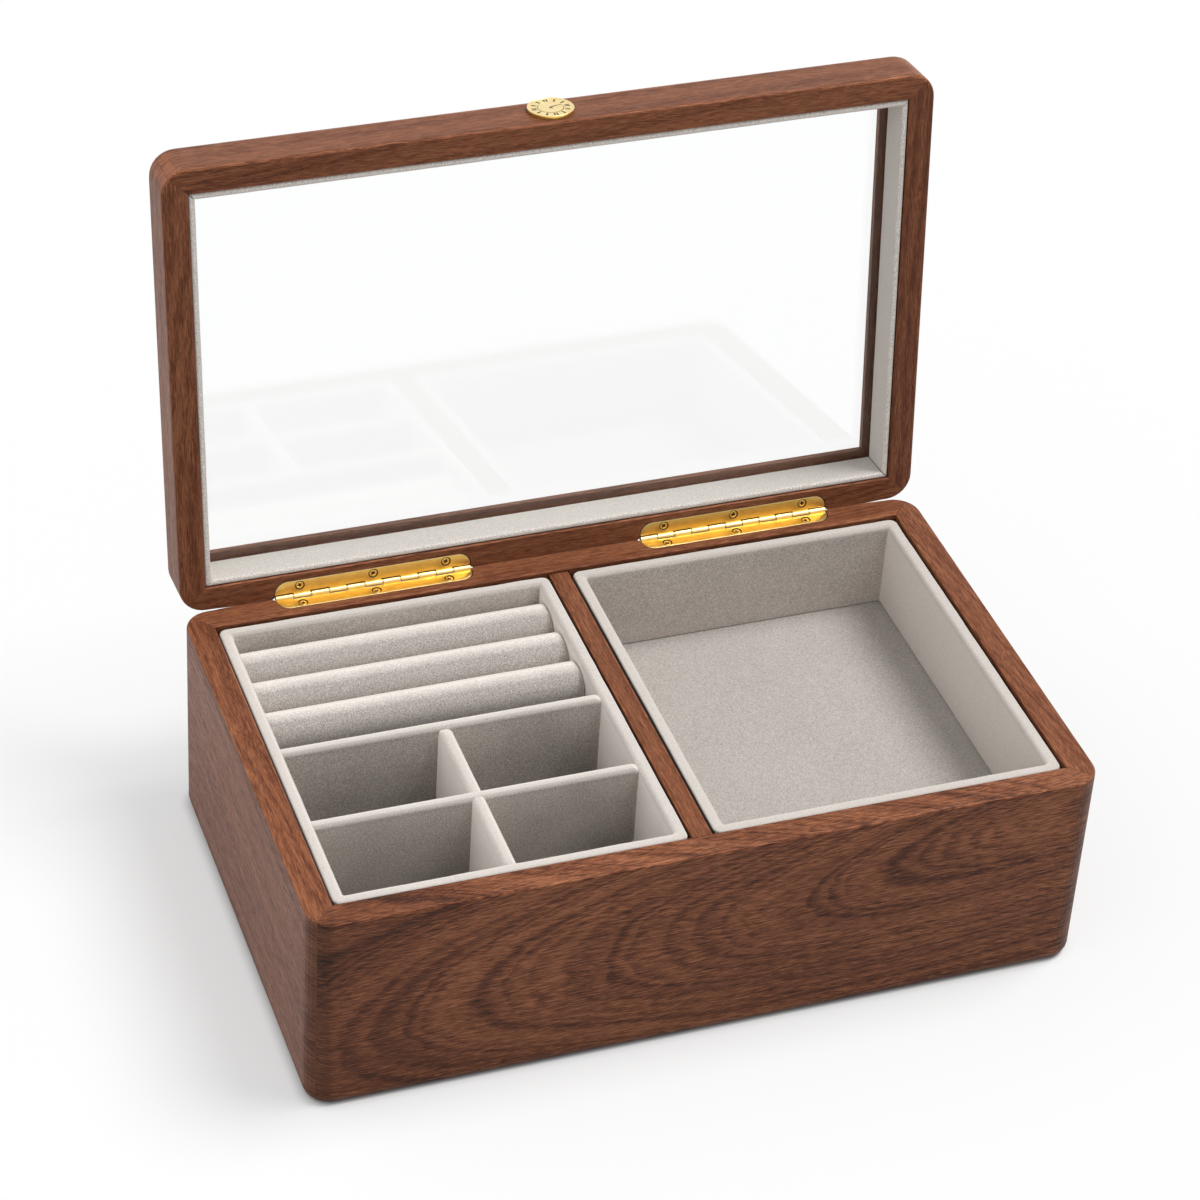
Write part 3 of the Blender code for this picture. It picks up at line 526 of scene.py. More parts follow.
back = glueLooks["back"]
glueSections = {
    "base": {
        "inner": (139.5, 81.0),
        "outline": [(5.7, 0.05), (6.7, 0.05)]
        + arcPoints((6.707, 4.0), 4.0 - back, -80, 0)
        + arcPoints((9.707, 86.0), 1.0 - back, 0, 90)
        + [(0.75, 87.0 - back), (back, 86.45), (back, 5.6), (5.7, 5.6)],
    },
    "lid": {
        "inner": (140.0, 81.5),
        "outline": [(back, 87.3 + back)]
        + arcPoints((9.0, 88.3), 1.0 - back, -90, 0)
        + arcPoints((6.5, 105.8), 3.5 - back, 0, 90)
        + [(-5.4, 109.3 - back), (-6.2, 108.5), (-6.2, 106.1), (back, 106.1)],
    },
}
glue = glueMaterial()
for frontBack, signY in (("front", -1), ("back", 1)):
    for leftRight, signX in (("left", -1), ("right", 1)):
        for body in ("base", "lid"):
            name = "%s_%s_%s_glue_line" % (body, frontBack, leftRight)
            mitreStrip(name, body, signX, signY)
print("glue lines made")

# The back edges of the rails are squarer than the others, so the open lid closes the gap there.
lippingLooks = {
    "edge": 0.32 * mm, "round": 1.0 * mm, "fade": 9.0 * mm,
    "thick": 0.06 * mm, "step": 2, "cuts": 8,
    "spans": ((-139, -114), (-34, 34), (114, 139)),  # mm, clear of the hinges
    "middle": {"base": (90.5, 86.0, 1), "lid": (90.5, 88.3, -1)},  # mm, and the way it turns
}


def lippingRing(x, body):
    looks = lippingLooks
    y, z, way = looks["middle"][body]
    first, last = looks["spans"][0][0] * mm, looks["spans"][-1][1] * mm
    full = share(min(x - first, last - x), 0.0, looks["fade"])
    full = full * full * (3 - 2 * full)
    radius, cuts = looks["round"], looks["cuts"]
    small = radius + (looks["edge"] - radius) * full
    inner = arcPoints((0, 0), radius - looks["thick"], 0, 90, cuts)
    outer = arcPoints((radius - small, radius - small), small, 90, 0, cuts)
    return [Vector((x, y * mm + u, z * mm + way * v)) for u, v in inner + outer]


def backLipping(body):
    shape = bmesh.new()
    for start, end in lippingLooks["spans"]:
        steps = max(4, round((end - start) / lippingLooks["step"]))
        places = [(start + (end - start) * k / steps) * mm for k in range(steps + 1)]
        addLoft(shape, [lippingRing(x, body) for x in places], caps=True)
    walnut = nodes[body + "_back_rail"].data.materials[0]
    finishPiece(body + "_back_edge_lipping", shape, body, [walnut], sharp=30.0)


for body in ("base", "lid"):
    backLipping(body)
print("back edges made")

# Painted light and shade for each lot of pads, all one velvet: the colour on faces turned along the
# painted sheen axis (painted shade) and on faces at a grazing angle to it (painted sheen). Each lot
# has its own painted brightness for the light it lies in.
velvetLooks = {
    "left": ((0.222, 0.196, 0.173), (0.98, 0.912, 0.845)),
    "trayWalls": ((0.34, 0.308, 0.281), (0.90, 0.835, 0.775)),
    "leftFloor": ((0.140, 0.127, 0.116), (0.30, 0.275, 0.25)),
    "rolls": ((0.38, 0.346, 0.318), (0.78, 0.723, 0.675)),
    "right": ((0.40, 0.362, 0.328), (0.70, 0.645, 0.595)),
    "rightFloor": ((0.35, 0.32, 0.294), (0.50, 0.463, 0.43)),
    "lid": ((0.70, 0.655, 0.61), (0.64, 0.595, 0.55)),
}
napLooks = {
    # the fixed axis of the painted sheen: faces turned along it are painted darker, faces across it
    # lighter
    "paintedSheenAxis": (-0.292, -0.713, 0.637),
    "sheen": 0.6, "wallSheen": 1.0, "sheenRoughness": 0.38, "sheenTint": (0.98, 0.96, 0.93),
    "mottle": 0.34, "drift": 0.15,
    "fleckFacing": 0.48, "fleckGrazing": 0.12, "pile": 0.06,
    # a painted highlight on the padded tops of the tray edges: its colour, where it starts and
    # ends, mm, and how much
    "crown": (0.58, 0.535, 0.495), "paintedLightFrom": 82.0, "paintedLightTo": 85.4, "paintedLightShare": 0.6,
    "crownFleck": 0.40,  # the share of the flecks left there
    # painted shade low on the outer side of a tray wall, in the gap round it: its colour, where it
    # starts, mm, and how softly
    "gap": (0.012, 0.008, 0.006), "gapDepth": 0.8, "gapSide": 0.30, "gapSoft": (0.15, 0.25),
    "paintedShadeFrom": 48.0, "paintedShadeTo": 84.0,  # mm
    "deep": 0.70,  # how dark the painted shade makes the compartments toward their floor
    "bump": (0.6, 0.00018),
}
trayLooks = {
    "wall": 5.0 * mm,
    "cornerOut": 3.0 * mm, "cornerIn": 0.9 * mm,
    "crown": 1.6 * mm,  # how far the padded top edge is rounded
    "crownOut": 0.65 * mm,  # the same on the outer side
    "foot": 0.4 * mm,
    "slack": 0.45 * mm,  # the dark gap round a tray is this much wider
    "lift": 1.8 * mm,  # the padding stands this much above the boards
    "ruffle": (0.10 * mm, 9 * mm),  # how deep and how long the waves of the padding are
    "seeds": {"left": 2.0, "right": 5.0},
}


def boxAround(points):
    return [Vector([pick(p[k] for p in points) for k in range(3)]) for pick in (min, max)]


def boxOf(*names):
    return boxAround([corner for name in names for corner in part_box(name)])


def shutBox(name):
    return boxAround([shutLid @ v.co for v in nodes[name].data.vertices])


def trayWalls(side):
    return ["%s_tray_%s_wall" % (side, w) for w in ("front", "back", "left", "right")]


def paintedGapShade(place, side):
    # 1 low down on the outer sides of a tray, where shade in the gap round it is painted dark
    low, high = boxOf(*trayWalls(side))
    middle, half = (low + high) / 2 / mm, (high - low) / 2 / mm
    apart = place.vector("SUBTRACT", middle).vector("ABSOLUTE")
    apart = give(place.tree, "VectorMath", {0: half, 1: apart}, operation="SUBTRACT")
    x, y, _ = apart.split()
    inward = x.math("MINIMUM", y) - trayLooks["slack"] / mm
    top = (high.z + trayLooks["lift"]) / mm - napLooks["gapDepth"]
    start, (softIn, softUp) = napLooks["gapSide"], napLooks["gapSoft"]
    outside = inward.ease(start + softIn, start)
    return outside * place.split()[2].ease(top + softUp, top)


def velvetMaterial(name, paintedSheenFacing, paintedSheenGrazing):
    looks = napLooks
    material, tree = newMaterial("velvet_" + name)
    place = placeOf(tree).scaled(1 / mm)
    nap = cloud(place, 1.9, 2.0, 0.8, 1.0)
    pile = cloud(place, 3.4, 2.0, 0.6, 5.0)
    drift = cloud(place, 0.045, 2.0, 0.5, 8.0).swung(looks["drift"])
    # painted sheen: the colour is darker on faces turned along a fixed axis and lighter at a
    # grazing angle to it
    paintedSheenAxis = Vector(looks["paintedSheenAxis"]).normalized()
    turned = placeOf(tree, "Normal").vector("DOT_PRODUCT", paintedSheenAxis)
    grazingShare = abs(turned) * -1.0 + 1.0
    lit = grazingShare.spread(0.18, 0.50) + nap.swung(looks["mottle"] / 2)
    colour = mixColour(lit.math("ADD", drift, clamp=True), paintedSheenFacing, paintedSheenGrazing)
    depth = grazingShare.spread(0.2, 0.6, looks["fleckFacing"], looks["fleckGrazing"])
    if name in ("left", "right", "trayWalls"):
        height = place.split()[2]
        if name == "left":
            # painted shade: the left compartments darken toward their floor
            deep = height.spread(looks["paintedShadeFrom"], looks["paintedShadeTo"], looks["deep"], 1.0)
            colour = mixColour(grazingShare.spread(0.35, 0.6), colour.scaled(deep), colour)
        # painted highlight along the padded tops of the walls
        crown = height.ease(looks["paintedLightFrom"], looks["paintedLightTo"], 0.0, looks["paintedLightShare"])
        colour = mixColour(crown, colour, looks["crown"])
        depth = depth * crown.spread(0.3, 0.6, 1.0, looks["crownFleck"])
    fleck = nap.spread(0.28, 0.72, -1.0, 1.0) * depth + 1.0
    fleck = fleck * pile.spread(0.3, 0.7, 1 - looks["pile"], 1 + looks["pile"])
    colour = colour.scaled(fleck)
    # painted shade in the dark gap round the tray
    if name in ("right", "trayWalls"):
        gap = paintedGapShade(place, "right" if name == "right" else "left")
        colour = mixColour(gap, colour, looks["gap"])
    coat(colour, 0.95, (*looks["bump"], pile * 0.6 + nap), {
        "Specular IOR Level": 0.15,
        "Sheen Weight": looks["wallSheen" if name in ("left", "trayWalls") else "sheen"],
        "Sheen Roughness": looks["sheenRoughness"],
        "Sheen Tint": looks["sheenTint"],
    })
    return material


velvets = {lot: velvetMaterial(lot, *looks) for lot, looks in velvetLooks.items()}


def outline(halfX, halfY, radius, corner=8, countX=20, countY=20):
    # a rounded rectangle, with points along its straight sides too
    corners = ((1, 1), (-1, 1), (-1, -1), (1, -1))

    def spot(quarter, turned):
        signX, signY = corners[quarter % 4]
        angle = math.radians(90 * turned)
        middle = Vector((signX * (halfX - radius), signY * (halfY - radius)))
        return middle + radius * Vector((math.cos(angle), math.sin(angle)))

    points = []
    for quarter, count in enumerate((countX, countY, countX, countY)):
        points += [spot(quarter, quarter + step / corner) for step in range(corner + 1)]
        start, end = points[-1], spot(quarter + 1, quarter + 1)
        points += [start.lerp(end, step / count) for step in range(1, count)]
    return points


def ruffle(point, seed, looks):
    amount, size = looks["ruffle"]
    return amount * noise.noise(point / size + Vector((seed, seed * 1.7, -seed)))


def pad(node, rings, body, lot):
    shape, name = lofted(rings), node + "_padded"
    return finishPiece(name, shape, body, [velvets[lot]], [node])


def edgeProfile(wide, low, high, crown, foot, crownOut=None):
    # (distance in, height) up the outer side of a padded wall, over its top and down inside
    def side(crown):
        return (
            [(foot * s, low + foot * c) for c, s in quarterTurn(3)]
            + [(0.0, (low * 2 + high) / 3), (0.0, (low + high * 2) / 3)]
            + [(crown * c, high - crown * s) for c, s in quarterTurn(7)]
        )

    crown = min(crown, wide / 2 * 0.98)
    return side(crownOut or crown) + [(wide - x, z) for x, z in reversed(side(crown))]


def padRing(side):
    looks = trayLooks
    low, high = boxOf(*trayWalls(side))
    high.z += looks["lift"]
    centre, slack = (low + high) / 2, looks["slack"]
    wall = looks["wall"] - slack
    half = ((high.x - low.x) / 2 - slack, (high.y - low.y) / 2 - slack)
    edges = (looks["crown"], looks["foot"], looks["crownOut"])
    rings = []
    for inset, z in edgeProfile(wall, low.z, high.z, *edges):
        part = inset / wall
        radius = looks["cornerOut"] * (1 - part) + looks["cornerIn"] * part
        ring = []
        for flat in outline(half[0] - inset, half[1] - inset, radius, 8, 44, 54):
            point = Vector((centre.x + flat.x, centre.y + flat.y, z))
            soft = ruffle(point, looks["seeds"][side], looks)
            for k in (0, 1):
                if abs(flat[k]) > half[k] - 2 * looks["wall"]:
                    point[k] -= math.copysign(1, flat[k]) * soft * (part - 0.5) * 2
            point.z += soft * max(0, (z - low.z) / (high.z - low.z)) ** 8
            ring.append(point)
        rings.append(ring)
    velvet = velvets["trayWalls" if side == "left" else "right"]
    name = side + "_tray_padded_walls"
    finishPiece(name, lofted(rings, True), "base", [velvet], trayWalls(side))


for side in ("left", "right"):
    padRing(side)

slabLooks = {
    "least": 0.25 * mm,  # the radius of a corner
    "rim": 1.2 * mm, "step": 4 * mm, "ruffle": (0.07 * mm, 10 * mm),
}


def padSlab(node, low, high, seed, across, edge, corner, lot):
    # a flat padded board, with its outline in the two directions other than across
    looks = slabLooks
    centre, half = (low + high) / 2, (high - low) / 2
    a, b, c = {"z": (0, 1, 2), "y": (0, 2, 1), "x": (1, 2, 0)}[across]
    thick = half[c]
    edge = min(edge, thick * 0.96)
    counts = [max(4, round(2 * half[k] / looks["step"])) for k in (a, b)]
    levels = [(edge + looks["rim"], -thick)]
    levels += [(edge * y, -thick + edge * x) for x, y in quarterTurn(6)]
    levels += [(x, -z) for x, z in reversed(levels)]
    rings = []
    for inset, level in levels:
        ring = []
        radius = max(corner - inset, looks["least"])
        for flat in outline(half[a] - inset, half[b] - inset, radius, 8, *counts):
            point = Vector((0, 0, 0))
            point[a], point[b] = centre[a] + flat.x, centre[b] + flat.y
            point[c] = centre[c] + level
            point[c] += math.copysign(ruffle(point, seed, looks), level)
            ring.append(point)
        rings.append(ring)
    pad(node, rings, "base", lot)


dividerLooks = {
    "bury": 1.5 * mm, "merge": 4.2 * mm, "corner": 3.3 * mm, "edge": 1.7 * mm,
    # the way each runs, its seed, and how much lower it is than the tray walls
    "ring_divider": (0, 3.0, 0.05 * mm),
    "cross_divider": (0, 4.0, 0.05 * mm),
    "long_divider": (1, 6.0, 0.10 * mm),
}
floorLooks = {"edge": 0.8 * mm, "corner": 1.5 * mm}


def divider(node):
    # one end runs into the tray wall and merges with it; the other is rounded and just touches
    looks = dividerLooks
    along, seed, lower = looks[node]
    low, high = boxOf(node)
    low[along] -= looks["merge"]
    high[along] += looks["bury"]
    high.z += trayLooks["lift"] - lower
    padSlab(node, low, high, seed, "xy"[1 - along], looks["edge"], looks["corner"], "left")


for node in ("ring_divider", "cross_divider", "long_divider"):
    divider(node)
for side in ("left", "right"):
    floors = ((side + "_tray_floor", 7.0, side + "Floor"), ("lower_%s_floor_pad" % side, 8.0, side))
    for node, seed, lot in floors:
        padSlab(node, *boxOf(node), seed, "z", lot=lot, **floorLooks)

rollLooks = {
    "lift": 1.6 * mm, "power": 2.35, "rise": 9.6 * mm, "end": 0.9 * mm,
    "ruffle": (0.10 * mm, 11 * mm), "cuts": 24, "count": 40,
}


def padRoll(node, seed):
    looks = rollLooks
    low, high = boxOf(node)
    high.z += looks["lift"]
    centreY, halfWide = (low.y + high.y) / 2, (high.y - low.y) / 2
    rise, power, end, count = looks["rise"], looks["power"], looks["end"], looks["count"]
    sideways = (low.z + high.z - rise) / 2
    section = [(-halfWide, low.z), (-halfWide, sideways)]
    for cos, sin in arcPoints((0, 0), 1.0, 180, 0, looks["cuts"]):
        section.append((
            halfWide * math.copysign(abs(cos) ** (2 / power), cos),
            high.z - rise + rise * abs(sin) ** (2 / power),
        ))
    section += [(halfWide, sideways), (halfWide, low.z)]
    ends = [(low.x + end * c, end * s) for c, s in quarterTurn(6)]
    long = high.x - low.x - 2 * end
    stations = ends + [(low.x + end + long * k / count, 0.0) for k in range(1, count)]
    stations += [(low.x + high.x - x, inset) for x, inset in reversed(ends)]
    rings = []
    for x, inset in stations:
        ring = []
        for across, z in section:
            part = (z - low.z) / (high.z - low.z)
            point = Vector((x, centreY + across * (1 - inset / halfWide), z - inset * part))
            point.z += ruffle(point, seed, looks) * part ** 4
            ring.append(point)
        rings.append(ring)
    pad(node, rings, "base", "rolls")


for k in (1, 2, 3):
    padRoll("ring_roll_%d" % k, 10.0 + k)

linerLooks = {
    "edge": 0.95 * mm, "gap": 0.06 * mm, "ruffle": (0.08 * mm, 9 * mm),
    "countX": 60, "countY": 36,
}


def lidLiner(side, seed):
    looks = linerLooks
    node = "lid_%s_liner" % side
    low, high = shutBox(node)
    runsX = side in ("front", "back")
    a, c = (0, 1) if runsX else (1, 0)
    thick = high[c] - low[c]
    outer, inward = (low[c], 1) if side in ("front", "left") else (high[c], -1)
    profile = edgeProfile(thick, low.z, high.z, looks["edge"], looks["edge"])
    profile = [(inset, low.z + high.z - z) for inset, z in profile]  # the round edge meets the base
    count = looks["countX" if runsX else "countY"]
    rings = []
    for k in range(count + 1):
        ring = []
        for inset, z in profile:
            start, end = low[a] + inset + looks["gap"], high[a] - inset - looks["gap"]
            point = Vector((0, 0, z))
            point[a] = start + (end - start) * k / count
            point[c] = outer + inward * inset
            point[c] += inward * ruffle(point, seed, looks) * (inset / thick)
            ring.append(point)
        rings.append(ring)
    pad(node, rings, "lid", "lid")


for k, side in enumerate(("front", "back", "left", "right")):
    lidLiner(side, 20.0 + k)
print("velvet pads made")

feltLooks = {
    "colour": (0.060, 0.055, 0.050), "fleck": (0.11, 0.10, 0.092),
    "corner": 6 * mm, "ruffle": (0.12 * mm, 1.5 * mm), "frayed": 3 * mm,
}


def feltMaterial():
    material, tree = newMaterial("darkFelt")
    place = placeOf(tree).scaled(1 / mm)
    hairs = cloud(place, 1.6, 4.0, 0.7, 2.0)
    mats = cloud(place, 0.12, 2.0, 0.5, 3.0).swung(0.3)
    amount = hairs.spread(0.35, 0.7).math("ADD", mats, clamp=True)
    colour = mixColour(amount, feltLooks["colour"], feltLooks["fleck"])
    more = {"Specular IOR Level": 0.1, "Sheen Weight": 0.3, "Sheen Roughness": 0.5}
    coat(colour, 1.0, (0.7, 0.0003, hairs), more)
    return material


def feltPad():
    looks = feltLooks
    low, high = boxOf("underside_felt")
    centre, half = (low + high) / 2, (high - low) / 2
    levels = (
        (1.5 * mm, low.z), (0.35 * mm, low.z), (0.05 * mm, low.z + 0.35 * mm),
        (0.0, high.z - 0.3 * mm), (0.15 * mm, high.z), (1.5 * mm, high.z),
    )
    rings = []
    for inset, z in levels:
        ring = []
        for flat in outline(half.x - inset, half.y - inset, looks["corner"] - inset, 10, 80, 50):
            point = Vector((centre.x + flat.x, centre.y + flat.y, z))
            fray = ruffle(point, 31.0, looks) - looks["ruffle"][0]
            if abs(flat.x) > half.x - looks["frayed"]:
                point.x += math.copysign(fray, flat.x)
            ring.append(point)
        rings.append(ring)
    materials, stands = [feltMaterial()], ["underside_felt"]
    piece = finishPiece("underside_felt_sheet", lofted(rings), "base", materials, stands)


feltPad()
print("felt made")

glassLooks = {
    "tint": (0.995, 0.997, 0.995), "shadow": (0.97, 0.98, 0.975), "smear": (0.035, 0.06),
    "body": (0.62, 0.90, 0.78), "density": 9.0, "index": 1.5,
}


def glassMaterial():
    looks = glassLooks
    material, tree = newMaterial("clearGlass")
    smear = cloud(placeOf(tree), 22.0, 3.0, 0.55, 4.0)
    glass = give(tree, "BsdfPrincipled", {
        "Base Color": looks["tint"], "Roughness": smear.spread(0.4, 0.8, *looks["smear"]),
        "IOR": looks["index"], "Transmission Weight": 1.0,
    })
    through = give(tree, "BsdfTransparent", {"Color": looks["shadow"]})
    shadows = give(tree, "LightPath", output="Is Shadow Ray")
    body = {"Color": looks["body"], "Density": looks["density"]}
    addNode(tree, "OutputMaterial", {
        "Surface": mixShaders(shadows, glass, through),
        "Volume": give(tree, "VolumeAbsorption", body),
    })
    return material


dress("lid_glass", glassMaterial())
print("glass dressed")

brassLooks = {
    "colour": (0.95, 0.64, 0.17), "dull": (0.84, 0.52, 0.13),
    # pale brass: the face of the dial, and a painted highlight on the hinge bevels and barrels
    "pale": (0.97, 0.80, 0.42), "paleDull": (0.90, 0.66, 0.27),
    "patina": (0.035, 0.019, 0.007), "patinaWorn": (0.10, 0.056, 0.018),
    "roughness": 0.30, "brush": 0.09,
}


def brassMaterial(name, stretch=1.0, bright="colour", dull="dull"):
    looks = brassLooks
    material, tree = newMaterial(name)
    place = placeOf(tree).scaled(1 / mm)
    x, y, z = place.split()
    lines = cloud(joined(x * stretch, y, z), 5.0, 3.0, 0.6, 1.0)
    spots = cloud(place, 0.35, 3.0, 0.55, 2.0).spread(0.35, 0.8)
    rough = lines.swung(looks["brush"]) + looks["roughness"]
    colour = mixColour(spots, looks[bright], looks[dull])
    coat(colour, rough, (0.12, 0.00005, lines), {"Metallic": 1.0})
    return material


def patinaMaterial():
    material, tree = newMaterial("brassPatina")
    crust = cloud(placeOf(tree), 2500.0, 3.0, 0.6, 6.0)
    colour = mixColour(crust.spread(0.35, 0.75), brassLooks["patina"], brassLooks["patinaWorn"])
    coat(colour, 0.6, (0.4, 0.00005, crust), {"Metallic": 0.35})
    return material


brass = brassMaterial("brushedBrass", stretch=0.03)
goldBrass = brassMaterial("polishedBrass")
paleBrassAndPaintedHighlight = brassMaterial("paleBrassAndPaintedHighlight", bright="pale", dull="paleDull")
patina = patinaMaterial()
leafMaterials = (brass, patina, paleBrassAndPaintedHighlight)

hingeLooks = {
    "centres": {"left": -74.0 * mm, "right": 74.0 * mm},
    "long": 78.0 * mm, "reach": 6.6 * mm, "corner": 5.0 * mm, "notch": 0.3 * mm,
    "thick": 1.2 * mm, "gap": 0.2 * mm, "chamfer": 0.26 * mm,
    "knuckles": 11, "knuckleGap": 0.34 * mm, "barrel": 1.08 * mm, "bore": 0.78 * mm,
    "ease": 0.13 * mm,  # at the ends of the knuckles
    "screwSpacing": 29.2 * mm, "screwBack": 4.3 * mm, "dish": 1.95 * mm,
}
screwLooks = {
    "head": 1.46 * mm, "sink": 0.12 * mm, "dome": 0.16 * mm, "rim": 0.36 * mm,
    "length": 7.0 * mm,
    "twist": (17, 23),  # degrees: no two screws stop at the same turn
    "arm": (0.30 * mm, 0.20 * mm),  # half the width of the cross, at its edge and at its floor
    "armEnd": (0.95 * mm, 0.83 * mm), "hub": (0.64 * mm, 0.52 * mm), "deep": 0.55 * mm,
    "thread": (0.70 * mm, 0.52 * mm), "pitch": 0.5 * mm, "cuts": 48,
}


def knuckleRange(centre, k):
    pitch = (hingeLooks["long"] + hingeLooks["knuckleGap"]) / hingeLooks["knuckles"]
    start = centre - hingeLooks["long"] / 2 + k * pitch
    return start, start + pitch - hingeLooks["knuckleGap"]


def leafOutline(centre, parity):
    looks = hingeLooks
    half, front = looks["long"] / 2, pinLine.y - looks["reach"]
    radius, notch = looks["corner"], pinLine.y - looks["barrel"] - looks["notch"]
    gap, last = looks["knuckleGap"], looks["knuckles"] - 1
    flat = [(centre - half, pinLine.y)]
    flat += arcPoints((centre - half + radius, front + radius), radius, 180, 270, 12)
    flat += arcPoints((centre + half - radius, front + radius), radius, 270, 360, 12)
    flat.append((centre + half, pinLine.y))
    for k in reversed(range(last + 1)):
        if k % 2 == parity:
            continue
        start, end = knuckleRange(centre, k)
        if k < last:
            flat += [(end + gap, pinLine.y), (end + gap, notch)]
        else:
            flat[-1] = (centre + half, notch)
        if k:
            flat += [(start - gap, notch), (start - gap, pinLine.y)]
        else:
            flat[0] = (centre - half, notch)
    return flat


def leafPlate(centre, parity, face, way):
    looks = hingeLooks
    shape = bmesh.new()
    flat = leafOutline(centre, parity)
    levels = (face, face - way * looks["thick"])
    upper, lower = ([shape.verts.new((x, y, z)) for x, y in flat] for z in levels)
    shape.faces.new(upper)
    shape.faces.new(reversed(lower))
    for k in range(len(flat)):
        j = (k + 1) % len(flat)
        shape.faces.new((upper[j], upper[k], lower[k], lower[j]))
    bmesh.ops.recalc_face_normals(shape, faces=shape.faces)
    rim = [
        e for e in shape.edges
        if all(abs(v.co.z - face) < 1e-7 for v in e.verts)
        and not all(v.co.y > pinLine.y - 1e-6 for v in e.verts)
    ]
    cut = {"offset": looks["chamfer"], "segments": 2, "profile": 0.6, "affect": "EDGES"}
    # the bevels get pale brass, a painted highlight
    for facet in bmesh.ops.bevel(shape, geom=rim, **cut)["faces"]:
        facet.material_index = 2
    return newObject("plate", shape, leafMaterials)


def dishCutter(places, face, way):
    looks = hingeLooks
    shape = bmesh.new()
    y = pinLine.y - looks["screwBack"]
    levels = ((looks["dish"] + 0.1 * mm, 0.1 * mm), (1.0 * mm, -0.95 * mm), (1.0 * mm, -1.5 * mm))
    for x in places:
        addLoft(shape, [
            [(x + u, y + v, face + way * depth) for u, v in circle(radius, 32)]
            for radius, depth in levels
        ], caps=True)
    return newObject("dishCutter", shape, [patina])


def addKnuckle(shape, start, end):
    looks = hingeLooks
    ease, bore, barrel = looks["ease"], looks["bore"], looks["barrel"]
    profile = (
        (start, bore), (start, barrel - ease), (start + ease, barrel),
        (end - ease, barrel), (end, barrel - ease), (end, bore),
    )
    rings = [
        [(x, pinLine.y + u, pinLine.z + v) for u, v in circle(radius, 36)]
        for x, radius in profile
    ]
    # the barrels get pale brass, a painted highlight; their ends and bore get patina
    addLoft(shape, rings, closed=True, slot=lambda step: 1 if step in (0, 4, 5) else 2)


def hingeLeaf(side, part):
    looks = hingeLooks
    centre = looks["centres"][side]
    parity, way = (0, 1) if part == "base" else (1, -1)
    face = pinLine.z - way * looks["gap"]
    node = "%s_hinge_%s_leaf" % (side, part)
    places = [centre + k * looks["screwSpacing"] for k in (-1, 0, 1)]
    plate, cutter = leafPlate(centre, parity, face, way), dishCutter(places, face, way)
    cut = plate.modifiers.new("dishes", "BOOLEAN")
    cut.object, cut.operation, cut.solver = cutter, "DIFFERENCE", "EXACT"
    cut.material_mode = "TRANSFER"
    dished = plate.evaluated_get(bpy.context.evaluated_depsgraph_get())
    shape = bmesh.new()
    shape.from_mesh(bpy.data.meshes.new_from_object(dished))
    bpy.data.objects.remove(plate)
    bpy.data.objects.remove(cutter)
    for k in range(parity, looks["knuckles"], 2):
        addKnuckle(shape, *knuckleRange(centre, k))
    finishPiece(node + "_dressed", shape, part, leafMaterials, [node], sharp=28.0)
    for k, x in enumerate(places):
        hingeScrew("%s_hinge_%s_screw_%d" % (side, part, k + 1), x, face, way, part)


def screwTop(angle, radius):
    # how deep the head lies: a low dome with a cross cut into it
    looks = screwLooks
    dome = looks["sink"] + looks["dome"] * (radius / looks["head"]) ** 2
    arm = min(abs(math.sin(2 * angle)), 1.0)
    across = radius * abs(math.sin(math.asin(arm) / 2))
    slot = share(across, *looks["arm"]) * share(radius, *looks["armEnd"])
    return dome + looks["deep"] * max(slot, share(radius, *looks["hub"]))


def hingeScrew(node, x, face, way, part):
    looks = screwLooks
    head, cuts = looks["head"], looks["cuts"]
    twist, more = looks["twist"]
    twist = math.radians(twist + more * x / hingeLooks["screwSpacing"])
    y = pinLine.y - hingeLooks["screwBack"]

    def ring(radius, depth=None):
        depths = [screwTop(a + twist, radius) if depth is None else depth for a in turns(cuts)]
        spots = zip(circle(radius, cuts), depths)
        return [(x + u, y + v, face - way * d) for (u, v), d in spots]

    rings = [ring(head * k / 16) for k in range(1, 17)]
    rings += [ring(head - 0.04 * mm, looks["rim"]), ring(0.75 * mm, 1.15 * mm)]
    depth = 1.5 * mm
    while depth < looks["length"] - 1.2 * mm:  # the thread, hidden in the wood
        rings.append(ring(looks["thread"][0], depth))
        rings.append(ring(looks["thread"][1], depth + looks["pitch"] / 2))
        depth += looks["pitch"]
    rings.append(ring(0.08 * mm, looks["length"]))
    shape = bmesh.new()
    made = addLoft(shape, rings)
    middle = shape.verts.new((x, y, face - way * screwTop(twist, 0)))
    for k in range(cuts):
        shape.faces.new((middle, made[0][k], made[0][(k + 1) % cuts]))
    shape.faces.new(made[-1])
    for facet in shape.faces:
        spot = facet.calc_center_median()
        deep, near = (face - spot.z) * way, math.hypot(spot.x - x, spot.y - y)
        if looks["sink"] + 0.30 * mm < deep < 1.0 * mm and near < 1.1 * mm:
            facet.material_index = 1  # the floor of the cross is dark
    materials = (goldBrass, patina)
    finishPiece(node + "_dressed", shape, part, materials, [node], sharp=35.0)


for side in ("left", "right"):
    for part in ("base", "lid"):
        hingeLeaf(side, part)
    dress(side + "_hinge_pin", brass)
print("hinges made")

dialLooks = {
    "sunk": 0.22 * mm, "rim": 0.42 * mm, "rise": 0.22 * mm, "front": 0.80 * mm,
    "under": 0.35 * mm, "inlay": 0.03 * mm,
    "marksAt": 6.35 * mm, "markLong": 1.0 * mm,
    "markWide": (0.24 * mm, 0.44 * mm),
    "pairApart": (0.46 * mm, 0.58 * mm), "pairWide": (0.24 * mm, 0.34 * mm),
    "hand": (-0.4 * mm, 4.9 * mm, -0.15 * mm, 1.45 * mm), "handWide": (0.36, 0.22),
    "cuts": 144,
}


